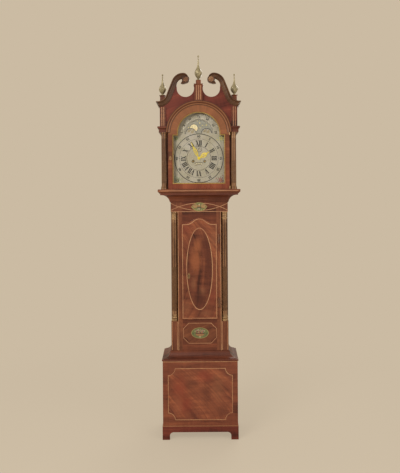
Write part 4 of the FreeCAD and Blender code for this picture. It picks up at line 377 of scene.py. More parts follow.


# Where the front of a panel lies, what is inlaid in it and the spots of its figure, with one spot of painted
# shade: across, up, half sizes
basePanel = {
    "front": -119.5,
    "box": ((0, 0, 288), (205, 900, 164), 44),
    "depth": -120,
    "spots": (("red", 0.62, ((-130, 320, 70, 130), (-110, 220, 90, 90), (30, 400, 80, 60))),
              ("pale", 0.3, ((-140, 230, 50, 100), (110, 330, 60, 120))),
              ("dark", 0.42, ((-60, 350, 60, 40), (40, 300, 45, 150), (150, 180, 60, 60)))),
}
waistDoorPanel = {
    "front": -72,
    "oval": ((0, 0, 1076), (83, 900, 262)),
    "depth": -72,
    "ovalSpots": (("orange", 0.62, ((-28, 1130, 58, 130), (-10, 1230, 40, 60))),
                  ("pale", 0.4, ((18, 930, 34, 46), (-40, 980, 26, 60))),
                  # the first, tall dark spot darkens the right side of the oval as painted shade
                  ("dark", 0.62, ((62, 1100, 46, 230), (0, 880, 70, 80), (40, 1250, 50, 70)))),
    "fieldSpots": (("red", 0.45, ((-84, 1330, 44, 50), (84, 900, 40, 90))),
                   ("pale", 0.4, ((88, 1270, 30, 90), (-86, 830, 40, 60), (40, 790, 60, 26)))),
}
spotColours = {"red": (140, 62, 42), "orange": (158, 92, 56), "pale": (150, 98, 66), "dark": (74, 36, 26)}
spotReach = 200  # how deep a spot goes, past any front
baseGrain = ("baseFlame", -6, (0.09, 0, -0.12))  # looks, turned in degrees, with their middle in metres
ovalGrain = ("darkFlame", 4, (0.02, 0, 1.0))
fieldGrain = ("flame", 12, (0.06, 0, 0.9))
railGrain = ("mahogany", 62, (0.05, 0, 0.66))
tympanumGrain = ("redMahogany", 74, (0, 0, 2.05))
railPanel = ((0, 0, 660.5), (106, 900, 64.5), 38)
hoodArchCentre = (0, 0, 1.942)
hoodDoorRail, hoodDoorShoulder = 1.623, 1.936


def addSpots(place, colour, depth, spots):
    for shade, strength, patches in spots:
        for x, z, wide, high in patches:
            mask = softMask(place, (x, depth, z), (wide, spotReach, high), 0.7, 0.1)
            colour = mix(mask * strength, colour, spotColours[shade])
    return colour


def makeBaseVeneer():
    cut = basePanel
    place = newMaterial("basePanelVeneer")
    leaf = grain(place, *baseGrain)
    colour = addSpots(place, leaf["Color"], cut["depth"], cut["spots"])
    front = split(place)[1] < cut["front"] * mm
    border = mix(front, grain(place, "warmBand")["Color"], grain(place, "warmBand", 90)["Color"])
    colour = mix(boxMask(place, *cut["box"]) * front, border, colour)
    polished(place, colour, leaf["Height"], "flame")


def makeDoorVeneer():
    cut = waistDoorPanel
    place = newMaterial("waistDoorVeneer")
    oval, field = grain(place, *ovalGrain), grain(place, *fieldGrain)
    inner = addSpots(place, oval["Color"], cut["depth"], cut["ovalSpots"])
    outer = addSpots(place, field["Color"], cut["depth"], cut["fieldSpots"])
    mask = softMask(place, *cut["oval"], 0.0, 0.98) * (split(place)[1] < cut["front"] * mm)
    colour = mix(mask, mix(0.35, outer, (104, 58, 40)), inner)
    polished(place, colour, field["Height"], "flame")


def roundArch(place, spin):  # how far round the arch of the hood, the depth, and how far from its centre
    x, y, z = split(vectorMath("SUBTRACT", place, hoodArchCentre))
    radius = vectorMath("LENGTH", node("CombineXYZ", x, None, z)[0])
    return z.math("ARCTAN2", x) * spin, y, radius


# painted light and shade on the moulding: dark bands stand for shade in the hollows, pale bands for
# highlights on the fillets
archShadeAndHighlightBands = ((181, 186, (66, 38, 25), 0.6), (186, 191, (160, 114, 74), 0.6), (191, 199, (70, 40, 27), 0.5),
             (199, 205, (150, 104, 66), 0.55), (205, 212, (54, 33, 22), 0.7))


def makeArchMoulding():  # grain that follows the arch, with painted shade in the hollow and painted highlights on the two edges
    place = newMaterial("archMoulding")
    length, depth, radius = roundArch(place, 0.18)
    wood = grain(node("CombineXYZ", radius, depth, length)[0], "mahogany")
    colour = wood["Color"]
    for inner, outer, shade, strength in archShadeAndHighlightBands:
        past, short = [ramp(radius, *at(edge - 1.5, edge + 1.5), *ends)
                       for edge, ends in ((inner, (0.0, 1.0)), (outer, (1.0, 0.0)))]
        colour = mix(past * short * strength, colour, shade)
    polished(place, colour, wood["Height"], "mahogany")


def makeFluted(name, centreX, centreY):  # painted shade in the dark flutes, and a painted highlight on every other ridge
    place = newMaterial(name)
    ground, wearAndHighlight = grain(place, "column"), grain(place, "ridge")
    x, y, z = split(place)
    angle = (y - centreY * mm).math("ARCTAN2", x.math("ABSOLUTE") - centreX * mm)
    # painted highlight: pale wood on every other ridge, over a ground that paints the shade in the flutes
    pale = ramp((angle * 8.0).math("COSINE"), -0.85, -0.45, 1.0, 0.0)
    polished(place, mix(pale, ground["Color"], wearAndHighlight["Color"]), ground["Height"], "column")


def makeHoodDoorVeneer():  # short grain across each rail, along the arch it points at the centre
    place = newMaterial("hoodDoorCrossband")
    stile, rail = grain(place, "crossband", 90), grain(place, "crossband")
    ray = alongGrain(node("CombineXYZ", *roundArch(place, 0.16))[0], "crossband")
    height = split(place)[2]
    colour = mix(height < hoodDoorRail, stile["Color"], rail["Color"])
    colour = mix(height > hoodDoorShoulder, colour, mix(0.4, ray["Color"], (146, 98, 62)))
    red = ramp(height, 1.6, 1.8, 0.35, 0.0, "LINEAR")
    polished(place, mix(red, colour, (150, 62, 40)), stile["Height"], "crossband")


def makeFeet():  # a painted highlight along the top edge of the feet
    place = newMaterial("feetMahogany")
    wood = grain(place, "redMahogany", 90)
    # painted highlight: a pale band at the top edge
    edge = ramp(split(place)[2], 0.083, 0.086, 0.0, 0.8)
    polished(place, mix(edge, wood["Color"], (168, 120, 82)), wood["Height"], "mahogany")


def makeRailVeneer():  # frieze over the door and the eight-sided panel under it
    place = newMaterial("waistRailVeneer")
    leaf, plain = grain(place, *railGrain), grain(place, "darkMahogany", 90)
    mask = boxMask(place, *railPanel)
    polished(place, mix(mask, plain["Color"], leaf["Color"]), leaf["Height"], "mahogany")


def makeTympanumVeneer():
    place = newMaterial("tympanumVeneer")
    leaf = grain(place, *tympanumGrain)
    polished(place, leaf["Color"], leaf["Height"], "redMahogany", 0.5)


def makePlainWood(name, look, turn):
    place = newMaterial(name)
    wood = grain(place, look, turn)
    polished(place, wood["Color"], wood["Height"], look)


# Finishes of metal, paint, glass and gut

metalLooks = {  # bright and dull colour, how far gone and how metallic it is
    "agedBrass": ((172, 136, 92), (114, 82, 54), 0.8, 0.5),
    "brownBrass": ((132, 102, 66), (96, 68, 44), 0.7, 0.2),
    # painted shade: brass darkened to the brown of the shaded flutes
    "reedBrass": ((132, 97, 63), (94, 64, 40), 0.7, 0.2),
    "darkHinge": ((114, 72, 48), (88, 54, 37), 0.6, 0.1),
    "finialBrass": ((168, 154, 116), (104, 92, 66), 0.7, 0.35),
    "giltBrass": ((226, 200, 70), (196, 160, 48), 0.4, 0.3),
    "movementBrass": ((196, 164, 96), (142, 112, 62), 0.5, 0.9),
    "giltSlip": ((192, 166, 84), (160, 128, 60), 0.5, 0.2),
    "agedSteel": ((150, 148, 142), (88, 80, 70), 0.6, 0.9),
    "blackIron": ((66, 62, 58), (38, 34, 30), 0.6, 0.6),
    "bellMetal": ((182, 158, 112), (120, 98, 64), 0.4, 0.95),
}
paintLooks = {  # fresh and yellowed colour, and how plain the cracks are
    "dialCream": ((153, 144, 133), (142, 132, 112), 0.22),
    "discCream": ((188, 178, 152), (170, 156, 124), 0.2),
    "moonSky": ((122, 120, 112), (136, 126, 106), 0.2),
    "inkBlack": ((22, 20, 20), (38, 33, 30), 0.1),
    "inkFaded": ((92, 84, 76), (106, 94, 80), 0.1),
    "inkBlue": ((50, 50, 60), (64, 62, 66), 0.1),
    "leafDark": ((74, 80, 62), (88, 88, 66), 0.15),
    "roseLeaf": ((118, 88, 78), (128, 104, 84), 0.15),
    "moonCheek": ((194, 158, 122), (182, 144, 108), 0.2),
    "leafGreen": ((110, 122, 88), (128, 130, 92), 0.15),
    "leafGrey": ((122, 118, 102), (134, 124, 104), 0.15),
    "rosePink": ((160, 104, 98), (142, 90, 88), 0.15),
    "roseDeep": ((122, 66, 72), (104, 60, 64), 0.15),
    "budYellow": ((190, 172, 92), (170, 150, 78), 0.15),
    "giltLine": ((226, 196, 88), (204, 170, 66), 0.1),
    "mapLand": ((142, 128, 98), (128, 112, 84), 0.2),
    "moonFace": ((206, 190, 150), (190, 168, 124), 0.25),
    "inlayGreen": ((112, 113, 68), (96, 95, 58), 0.08),
    "inlayGold": ((158, 146, 86), (140, 122, 72), 0.1),
    "inlayTan": ((160, 136, 88), (142, 116, 74), 0.1),
    "inlayOrange": ((156, 116, 74), (138, 98, 60), 0.1),
    "inlayPale": ((186, 172, 132), (166, 150, 112), 0.1),
    "inlayDark": ((58, 48, 40), (72, 60, 48), 0.2),
    "inlayPlum": ((98, 56, 46), (84, 48, 40), 0.2),
    "inlayLeaf": ((92, 98, 58), (80, 86, 52), 0.25),
    "inlayRed": ((150, 88, 70), (128, 74, 58), 0.25),
}
columnCentres = {"waistColumns": (161.7, -43.7), "hoodColumns": (222, -102)}  # across and depth
columnReeds = (790, 1385)  # between these heights the brass of a corner column is reeds laid in its flutes


def metalSurface(aged, colour, metallic):
    surface(Base_Color=colour, Roughness=aged["Roughness"], Metallic=metallic,
            Normal=bump(0.12, 0.0006, aged["Height"]))


def makeMetal(name, bright, dull, age, metallic):
    aged = group("oldMetal", newMaterial(name), bright, dull, age)
    metalSurface(aged, aged["Color"], metallic)


def makeColumnBrass():  # cast bases and capitals, and between them reeds darkened to the painted shade of the flutes
    place = newMaterial("columnBrass")
    aged, brown = [group("oldMetal", place, *metalLooks[look][:3]) for look in ("agedBrass", "reedBrass")]
    height = split(place)[2]
    low, high = at(*columnReeds)
    metalSurface(aged, mix((height > low) * (height < high), aged["Color"], brown["Color"]), 0.4)


def makePaint(name, colour, yellow, cracks):
    old = group("oldPaint", newMaterial(name), colour, yellow, cracks)
    surface(Base_Color=old["Color"], Roughness=old["Roughness"], Specular_IOR_Level=0.35,
            Normal=bump(0.15, 0.0003, old["Height"]))


def makeStringing():  # pale holly strips, browned by wax
    old = group("oldPaint", newMaterial("holly"), (190, 140, 96), (158, 104, 68), 0.08)
    surface(Base_Color=old["Color"], Roughness=old["Roughness"], Coat_Weight=0.1, Coat_Roughness=0.25)


def makeGlass():  # thin old glass with a faint wave in it
    wave = noise(newMaterial("oldGlass"), 11.0, 1.0)[0]
    glass = node("BsdfPrincipled", Base_Color=(0.96, 0.98, 0.96, 1), Roughness=0.02, Transmission_Weight=1.0,
                 Normal=bump(0.05, 0.002, wave), **{"IOR": 1.1})
    clear = node("BsdfTransparent", Color=(0.97, 0.98, 0.97, 1))
    shadow = node("LightPath")["Is Shadow Ray"]
    node("OutputMaterial", Surface=node("MixShader", shadow, glass[0], clear[0])[0])


def makeGut():
    twist = noise(newMaterial("gut"), 900.0, 2.0)[0]
    surface(Base_Color=mix(ramp(twist, 0.4, 0.6), (176, 150, 104), (128, 100, 62)), Roughness=0.5)


for make in (makeBaseVeneer, makeDoorVeneer, makeHoodDoorVeneer, makeRailVeneer, makeTympanumVeneer,
             makeStringing, makeGlass, makeGut, makeColumnBrass, makeArchMoulding, makeFeet):
    make()
for make, looks in ((makePlainWood, plainWoods), (makeMetal, metalLooks), (makePaint, paintLooks),
                    (makeFluted, columnCentres)):
    for look, values in looks.items():
        make(look, *values)

nodeFinishes = {
    "pineBoards": "backboard seatboard",
    "basePanelVeneer": "base_panels",
    "mouldingMahogany": "base_moulding hood_seat_moulding hood_entablature dial_mask",
    "feetMahogany": "bracket_feet",
    "sideMahogany": "waist_sides hood_carcass",
    "uprightMahogany": "waist_stiles hood_plinths",
    "waistRailVeneer": "waist_rails",
    "waistColumns": "quarter_columns",
    "columnBrass": "quarter_column_brass",
    "holly": "case_inlay waist_door_inlay hood_inlay",
    "inlayGreen": "paterae",
    "darkHinge": "waist_hinge_pins waist_door_hinges",
    "movementBrass": "movement_frame center_wheel hour_wheel minute_wheel third_wheel escape_wheel "
                     "going_great_wheel pendulum_bob going_barrel strike_barrel going_pulley strike_pulley",
    "dialCream": "dial",
    "bellMetal": "bell",
    "gut": "going_line strike_line",
    "waistDoorVeneer": "waist_door",
    "brownBrass": "waist_door_lock",
    "railMahogany": "hood_base_frame",
    "tympanumVeneer": "hood_tympanum",
    "archMoulding": "hood_arch_moulding",
    "scrollBrown": "swan_necks",
    "rosetteWood": "rosettes",
    "finialBrass": "finials",
    "hoodColumns": "hood_columns",
    "reedBrass": "hood_brass",
    "hoodDoorCrossband": "hood_door",
    "oldGlass": "hood_door_glass",
    "agedBrass": "hood_door_fittings",
    "giltBrass": "minute_hand hour_hand",
    "agedSteel": "seconds_hand anchor pendulum_rod hammer",
    "moonSky": "moon_disc",
    "discCream": "calendar_disc",
    "blackIron": "going_weight strike_weight",
}


def finish(piece, look):
    piece.data.materials.clear()
    piece.data.materials.append(finishes[look])
    return piece


for look, nodeNames in nodeFinishes.items():
    for nodeName in nodeNames.split():
        finish(cadNodes[nodeName], look)
print("stage: finishes on", len(" ".join(nodeFinishes.values()).split()), "frame pieces")


# Modelling: small steps that the pieces share

primitives = {
    "plane": bpy.ops.mesh.primitive_plane_add,
    "circle": bpy.ops.mesh.primitive_circle_add,
    "cube": bpy.ops.mesh.primitive_cube_add,
    "cylinder": bpy.ops.mesh.primitive_cylinder_add,
    "sphere": bpy.ops.mesh.primitive_uv_sphere_add,
}


def clear():
    bpy.ops.object.select_all(action="DESELECT")


def activate(piece):
    clear()
    piece.select_set(True)
    bpy.context.view_layer.objects.active = piece


def pick():
    bpy.ops.mesh.select_all(action="SELECT")


def opened():  # the active piece, in edit mode with all of it chosen
    bpy.ops.object.mode_set(mode="EDIT")
    pick()
    return bpy.context.object


def start(kind, *place, **settings):  # a primitive with its middle at the place, opened
    clear()
    primitives[kind](location=at(*place), **settings)
    return opened()


def choose(piece, kind, test):  # kind is VERT or FACE; the test gets the place, and a face's normal too
    bpy.ops.mesh.select_mode(type=kind)
    bpy.ops.mesh.select_all(action="DESELECT")
    mesh = bmesh.from_edit_mesh(piece.data)
    if kind == "VERT":
        for vertex in mesh.verts:
            vertex.select_set(bool(test(vertex.co)))
    else:
        for face in mesh.faces:
            face.select_set(bool(test(face.calc_center_median(), face.normal)))
    mesh.select_flush_mode()
    bmesh.update_edit_mesh(piece.data)


def push(x, y, z):
    bpy.ops.mesh.extrude_region_move(TRANSFORM_OT_translate={"value": at(x, y, z)})


def resize(size, *middle):
    bpy.ops.transform.resize(value=size, center_override=at(*middle))


def modify(piece, kind, **settings):
    modifier = piece.modifiers.new(kind.lower(), kind)
    for key, value in settings.items():
        setattr(modifier, key, value)
    bpy.ops.object.modifier_apply(modifier=modifier.name)


def close():  # normals outwards, then back to object mode with the place in the mesh
    pick()
    bpy.ops.mesh.normals_make_consistent(inside=False)
    bpy.ops.object.mode_set(mode="OBJECT")
    bpy.ops.object.transform_apply(location=True, rotation=True, scale=True)


def softenEdges(piece, width, segments):
    modify(piece, "BEVEL", width=width * mm, segments=segments, limit_method="ANGLE")
    bpy.ops.object.shade_smooth_by_angle(angle=math.radians(35))


def joinPieces(name, pieces, layer=0.0):  # flat coats that overlap are each set a hair in front of the last
    clear()
    for k, piece in enumerate(pieces):
        piece.data.transform(Matrix.Translation((0, -k * layer * mm, 0)))
        piece.select_set(True)
    bpy.context.view_layer.objects.active = pieces[0]
    if len(pieces) > 1:
        bpy.ops.object.join()
    whole = bpy.context.object
    whole.name = name
    clear()
    return whole


def dress(piece, body, *stoodFor):
    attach(piece, body)
    if stoodFor:
        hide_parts(*stoodFor)


def remove(*pieces):
    for piece in pieces:
        bpy.data.objects.remove(piece)


def copied(piece, *steps):  # a copy with its own mesh; the last step is taken first
    activate(piece)
    bpy.ops.object.duplicate()
    whole = Matrix()
    for step in steps:
        whole = whole @ step
    bpy.context.object.data.transform(whole)
    return bpy.context.object


def turn(degrees):
    return Matrix.Rotation(math.radians(degrees), 4, "Y")


def turned(piece, degrees, x, z):  # a copy, clockwise about a point seen from the front
    centre = Matrix.Translation(at(x, 0, z))
    return copied(piece, centre, turn(degrees), centre.inverted())


def moved(piece, x, z, degrees=0.0, size=1.0):  # a copy of what was made round the origin, put in place
    return copied(piece, Matrix.Translation(at(x, 0, z)), turn(degrees), Matrix.Diagonal((size, 1, size, 1)))


def stamped(places, *pieces):  # copies of some pieces at each place; the pieces themselves go
    copies = [moved(piece, *place) for place in places for piece in pieces]
    remove(*pieces)
    return copies


def onCircle(x, z, reach, degrees):
    angle = math.radians(degrees)
    return x + reach * math.sin(angle), z + reach * math.cos(angle)


# Finials: a turned foot, a spirally fluted bulb and a long spire with a knob

finial = {
    "lobes": 8,
    "bulbRadius": 27,
    "twistDegrees": 120,
    "places": ((0, -109.75, 2280, 160), (-230, -78, 2190, 137), (230, -78, 2190, 137)),
    # share of the height, share of the bulb's radius, depth of the flutes
    "turning": ((0.0, 0.46, 0), (0.02, 0.48, 0), (0.035, 0.44, 0), (0.05, 0.24, 0), (0.065, 0.2, 0),
                (0.08, 0.3, 0.04), (0.12, 0.55, 0.16), (0.18, 0.83, 0.22), (0.24, 0.97, 0.24),
                (0.3, 1.0, 0.24), (0.36, 0.92, 0.24), (0.42, 0.72, 0.22), (0.47, 0.52, 0.16),
                (0.52, 0.37, 0.08), (0.56, 0.28, 0), (0.62, 0.22, 0), (0.7, 0.17, 0), (0.8, 0.13, 0),
                (0.9, 0.09, 0), (0.92, 0.09, 0), (0.935, 0.16, 0), (0.955, 0.22, 0), (0.975, 0.21, 0),
                (0.993, 0.11, 0), (1.0, 0.02, 0)),
}


def makeFinial(x, y, z, height):
    sides = finial["lobes"] * 2
    level, width, flute = finial["turning"][0]
    piece = start("circle", x, y, z, vertices=sides, radius=width * finial["bulbRadius"] * mm,
                  fill_type="NGON")
    for nextLevel, nextWidth, nextFlute in finial["turning"][1:]:
        push(0, 0, (nextLevel - level) * height)
        top = nextLevel * height
        size = nextWidth / width
        resize((size, size, 1), x, y, z + top)
        if nextFlute != flute:
            choose(piece, "VERT", lambda place: abs(place.z - top * mm) < 0.01 * mm
                   and round(math.atan2(place.y, place.x) * sides / math.tau) % 2)
            size = (1 - nextFlute) / (1 - flute)
            resize((size, size, 1), x, y, z + top)
            choose(piece, "VERT", lambda place: abs(place.z - top * mm) < 0.01 * mm)
        level, width, flute = nextLevel, nextWidth, nextFlute
    pick()
    bpy.ops.mesh.normals_make_consistent(inside=False)
    bpy.ops.object.mode_set(mode="OBJECT")
    modify(piece, "SIMPLE_DEFORM", deform_method="TWIST", deform_axis="Z",
           angle=math.radians(finial["twistDegrees"]))
    modify(piece, "SUBSURF", levels=2, render_levels=2)
    bpy.ops.object.mode_set(mode="EDIT")
    close()
    bpy.ops.object.shade_smooth()
    return piece


finials = joinPieces("turnedFinials", [makeFinial(*place) for place in finial["places"]])
dress(finish(finials, "finialBrass"), "hood", "finials")


# Rosettes: two rows of petals round a boss, carved in the ends of the scrolls

rosette = {
    "centres": ((-81, 2286), (81, 2286)),
    "back": -123.5,
    "radius": 22,
    "thick": 3,
    "rim": 1.8,
    "sunk": 1.4,
    "petalBack": -125.7,
    # how many, how far out they start, their length, width and depth, and how far the row is turned
    "rows": ((8, 7, 10.5, 7.5, 3.4, 0), (5, 1.8, 5.6, 4.95, 5.1, 0.5)),
    "bossBack": -127.7,
    "bossRadius": 2.9,
}


def petalRow(x, z, count, reach, length, width, depth, offset):  # cupped leaves, a groove down each middle
    middle = (x, rosette["petalBack"], z + reach + length / 2)
    piece = start("cube", *middle, size=1, scale=at(width, depth, length))
    bpy.ops.mesh.subdivide(number_cuts=3)
    for low, high, size in ((0.45, 0.6, 0.38), (-0.6, -0.45, 0.42), (0.2, 0.3, 0.88), (-0.3, -0.2, 0.78)):
        choose(piece, "VERT", lambda place: low < place.z < high)
        resize((size, 1, 1), *middle)
    choose(piece, "VERT", lambda place: abs(place.x) < 0.1 and place.y < -0.3 and abs(place.z) < 0.4)
    bpy.ops.transform.translate(value=at(0, depth * 0.32, 0))
    close()
    modify(piece, "SUBSURF", levels=2, render_levels=2)
    bpy.ops.object.shade_smooth()
    finish(piece, "rosettePetal")
    row = [turned(piece, 360 * (k + offset) / count, x, z) for k in range(count)]
    remove(piece)
    return row


def makeRosette(x, z):
    cut = rosette
    disc = start("cylinder", x, cut["back"] - cut["thick"] / 2, z, vertices=48, radius=cut["radius"] * mm,
                 depth=cut["thick"] * mm, rotation=upright)
    choose(disc, "FACE", lambda place, normal: normal.z > 0.9)
    bpy.ops.mesh.inset(thickness=cut["rim"] * mm)
    push(0, cut["sunk"], 0)
    close()
    softenEdges(disc, 0.5, 2)
    petals = [petal for row in cut["rows"] for petal in petalRow(x, z, *row)]
    place = (x, cut["bossBack"], z)
    boss = start("sphere", *place, segments=20, ring_count=12, radius=cut["bossRadius"] * mm)
    resize((1, 0.85, 1), *place)
    close()
    bpy.ops.object.shade_smooth()
    return [finish(disc, "rosetteWood"), finish(boss, "rosettePetal")] + petals


carving = [part for centre in rosette["centres"] for part in makeRosette(*centre)]
dress(joinPieces("carvedRosettes", carving), "hood", "rosettes")
print("stage: finials and rosettes")


# Painting: marks are thin coats that stand proud of the canvas, the front of what they are painted on

canvas = {"plane": 0.0, "coat": 0.0}
hair = 0.0025  # how much further forward each coat in a painting lies than the one before
weldReach = 0.000001  # in metres, points closer than this become one


# After its place a disc has its radius, sides and coats, an arc its outer and inner reach, its two angles,
# steps and coats. A blade has its length, width, the share of it left at the tip and coats.
def openCanvas(plane, coat):
    canvas.update(plane=plane, coat=coat)


def thicken(coats):  # the flat faces become a thin solid that comes forward, so many coats thick
    pick()
    push(0, -canvas["coat"] * coats, 0)
    close()


def patch(x, low, high, width):  # a flat upright face, still open
    middle = (x, canvas["plane"], (low + high) / 2)
    piece = start("plane", *middle, size=1, rotation=upright)
    resize((width * mm, 1, (high - low) * mm), *middle)
    return piece


def narrow(piece, low, high, levels):  # sets the width at levels between the foot, -1, and the head, 1
    half = (high - low) / 2 * mm
    for level, size in levels:
        choose(piece, "VERT", lambda place: abs(place.y / half - level) < 0.1)
        resize((size, 1, 1), 0, canvas["plane"], (low + high) / 2)


def stroke(foot, head, width, low, high, coats=1):  # a flat bar whose head may lean to one side
    piece = patch(foot, low, high, width)
    choose(piece, "VERT", lambda place: place.y > 0)
    bpy.ops.transform.translate(value=at(head - foot, 0, 0))
    thicken(coats)
    return piece


def ring(x, z, outer, inner, sides=96, coats=1):
    middle = (x, canvas["plane"], z)
    piece = start("circle", *middle, vertices=sides, radius=outer * mm, fill_type="NOTHING", rotation=upright)
    bpy.ops.mesh.extrude_region_move()
    resize((inner / outer, 1, inner / outer), *middle)
    thicken(coats)
    return piece


def arc(x, z, outer, inner, first, last, steps=24, coats=1):  # a line spun between two angles
    alongX, alongZ = onCircle(x, z, (outer + inner) / 2, first)
    piece = start("plane", alongX, canvas["plane"], alongZ, size=(outer - inner) * mm,
                  rotation=(upright[0], math.radians(first), 0))
    choose(piece, "VERT", lambda place: place.x > 0)
    bpy.ops.mesh.delete(type="VERT")
    choose(piece, "VERT", lambda place: True)
    bpy.ops.mesh.spin(steps=steps, angle=math.radians(last - first), center=at(x, canvas["plane"], z),
                      axis=(0, -1, 0))
    pick()
    bpy.ops.mesh.remove_doubles(threshold=weldReach)
    thicken(coats)
    return piece


def disc(x, z, radius, sides=24, coats=1):
    piece = start("circle", x, canvas["plane"], z, vertices=sides, radius=radius * mm, fill_type="NGON",
                  rotation=upright)
    thicken(coats)
    return piece


bladeOutline = ((0.5, 0.8), (-0.5, 0.72), (-1, 0.22))


def blade(length, width, tip=0.12, coats=1):  # a flat leaf or petal that grows upwards from the origin
    piece = patch(0, 0, length, width)
    bpy.ops.mesh.subdivide(number_cuts=3)
    narrow(piece, 0, length, ((1, tip), *bladeOutline))
    thicken(coats)
    return piece


def grown(x, z, degrees, *values):  # a blade in its place
    return stamped([(x, z, degrees)], blade(*values))[0]


def paint(marks):  # each is a finish, what makes the mark and its values, across and up first
    return [finish(make(*values), look) for look, make, *values in marks]


def writeNumber(words, size, bold):  # a number with its middle at the origin, as a mesh
    clear()
    bpy.ops.object.text_add(rotation=upright, location=at(0, canvas["plane"], 0))
    letters = bpy.context.object.data
    letters.body = words
    letters.align_x = letters.align_y = "CENTER"
    letters.resolution_u = 2
    letters.size, letters.extrude, letters.offset = at(size, canvas["coat"], bold)
    bpy.ops.object.convert(target="MESH")
    number = opened()
    bpy.ops.mesh.remove_doubles(threshold=weldReach)
    close()
    return number


def numbersRound(labels, z, reach, size, bold):  # pairs of words and degrees clockwise from the top
    placed = []
    for words, degrees in labels:
        placed += stamped([(*onCircle(0, z, reach, degrees), degrees)], writeNumber(words, size, bold))
    return placed


# Painted dial

dialPaint = {
    "canvas": (-80.0, 0.2),
    "centre": 1786,
    "archCentre": 1944,
    "lines": ((158.4, 154.2), (125.1, 123.9), (78.0, 75.8)),
    "dotRing": 124.5,
    "dots": ((1.3, 8), (2.47, 12)),          # radius and sides of a minute and of a fifth minute
    "romanFoot": 82,
    "romanHeight": 33,
    "romanSerif": 2.6,
    "serifCoats": 1.1,
    "arabic": (140.5, 21, 0.75),             # how far out, size, boldness
    "secondsCentre": 1846,
    "secondsLines": ((21.0, 19.8), (14.2, 13.4)),
    "secondsTick": (17.9, 20.2, 0.5),        # from, to, width
    "secondsNumbers": (17.2, 5.2, 0.06),
    "moonLine": (90.9, 89.9),
    "moonTick": (91, 96, 1.5),
    "moonNumbers": (108, 19, 0.6),
    "moonLabels": (("1", -86), ("5", -60), ("10", -31), ("15", 0), ("20", 31), ("25", 60), ("29", 86)),
    "windingPlaces": ((-37, 1767), (37, 1767)),
    "windingLines": (9.4, 6.2),
    "dateCentre": 1701,
    "dateLines": ((60.8, 57.8), (46.2, 43.2)),
    "dateHalf": 26.5,                        # degrees
}
romans = {  # width; foot, head and width of each bar; place, foot 0 or head 1, and width of each serif
    "I": (9.6, ((0, 0, 6.6),), ((0, 0, 10.6), (0, 1, 10.6))),
    "V": (21.5, ((-0.6, -6.8, 6.6), (0.9, 6.8, 2.6)), ((-6.8, 1, 10.6), (6.8, 1, 6))),
    "X": (21.5, ((6.8, -6.8, 6.6), (-6.8, 6.8, 2.6)),
          ((-6.8, 1, 10.6), (6.8, 1, 6), (6.8, 0, 10.6), (-6.8, 0, 6))),
}
romanHours = "XII I II III IIII V VI VII VIII IX X XI"


def romanLetter(word):  # standing on the origin
    high, thin = dialPaint["romanHeight"], dialPaint["romanSerif"]
    bars, serifs = romans[word][1:]
    parts = [stroke(*bar, 0, high) for bar in bars]
    for x, head, width in serifs:
        low = head * (high - thin)
        parts.append(stroke(x, x, width, low, low + thin, dialPaint["serifCoats"]))
    return joinPieces("letter" + word, parts, hair)


def hourNumbers():
    letters = {word: romanLetter(word) for word in romans}
    placed = []
    for hour, words in enumerate(romanHours.split()):
        across = -sum(romans[letter][0] for letter in words) / 2
        for letter in words:
            width = romans[letter][0]
            standing = moved(letters[letter], across + width / 2, dialPaint["romanFoot"])
            placed += stamped([(0, dialPaint["centre"], hour * 30)], standing)
            across += width
    remove(*letters.values())
    return placed


def ticksRound(z, low, high, width, angles):
    tick = stroke(0, 0, width, z + low, z + high)
    ticks = [turned(tick, degrees, 0, z) for degrees in angles]
    remove(tick)
    return ticks


def minuteDots():
    centre = dialPaint["centre"]
    small, large = [disc(0, centre + dialPaint["dotRing"], *dot) for dot in dialPaint["dots"]]
    dots = [turned(small if k % 5 else large, k * 6, 0, centre) for k in range(60)]
    remove(small, large)
    return dots


def chapterMarks():
    cut = dialPaint
    lines = [ring(0, cut["centre"], *line) for line in cut["lines"]]
    fives = [(str(k * 5), k * 30) for k in range(1, 13)]
    return lines + numbersRound(fives, cut["centre"], *cut["arabic"]) + minuteDots() + hourNumbers()


def secondsMarks():
    cut = dialPaint
    centre = cut["secondsCentre"]
    lines = [ring(0, centre, *line, 48) for line in cut["secondsLines"]]
    ticks = ticksRound(centre, *cut["secondsTick"], [k * 6 for k in range(60) if k % 15])
    labels = [(str(k * 15), k * 90) for k in range(1, 5)]
    return lines + ticks + numbersRound(labels, centre, *cut["secondsNumbers"])


def smallMarks():  # rings round the winding holes and the edge of the date slot
    cut = dialPaint
    half = cut["dateHalf"]
    rings = [ring(*place, *cut["windingLines"], 32) for place in cut["windingPlaces"]]
    return rings + [arc(0, cut["dateCentre"], *line, -half, half) for line in cut["dateLines"]]


def moonAges():  # the moon's age round the arch, with a stroke for each day
    cut = dialPaint
    centre = cut["archCentre"]
    ticks = ticksRound(centre, *cut["moonTick"], [6 * k - 87 for k in range(30)])
    line = arc(0, centre, *cut["moonLine"], -90, 90, 64)
    return [line] + ticks + numbersRound(cut["moonLabels"], centre, *cut["moonNumbers"])


openCanvas(*dialPaint["canvas"])
blackMarks = joinPieces("dialFigures", chapterMarks() + secondsMarks() + smallMarks(), hair)
dress(finish(blackMarks, "inkBlack"), "case")
ageMarks = joinPieces("dialMoonAges", moonAges(), hair)
dress(finish(ageMarks, "inkBlack"), "case")
print("stage: dial figures", len(blackMarks.data.polygons) + len(ageMarks.data.polygons))


# Painted ornament: flowers in the corners, the two half globes, the moon and the days of the month

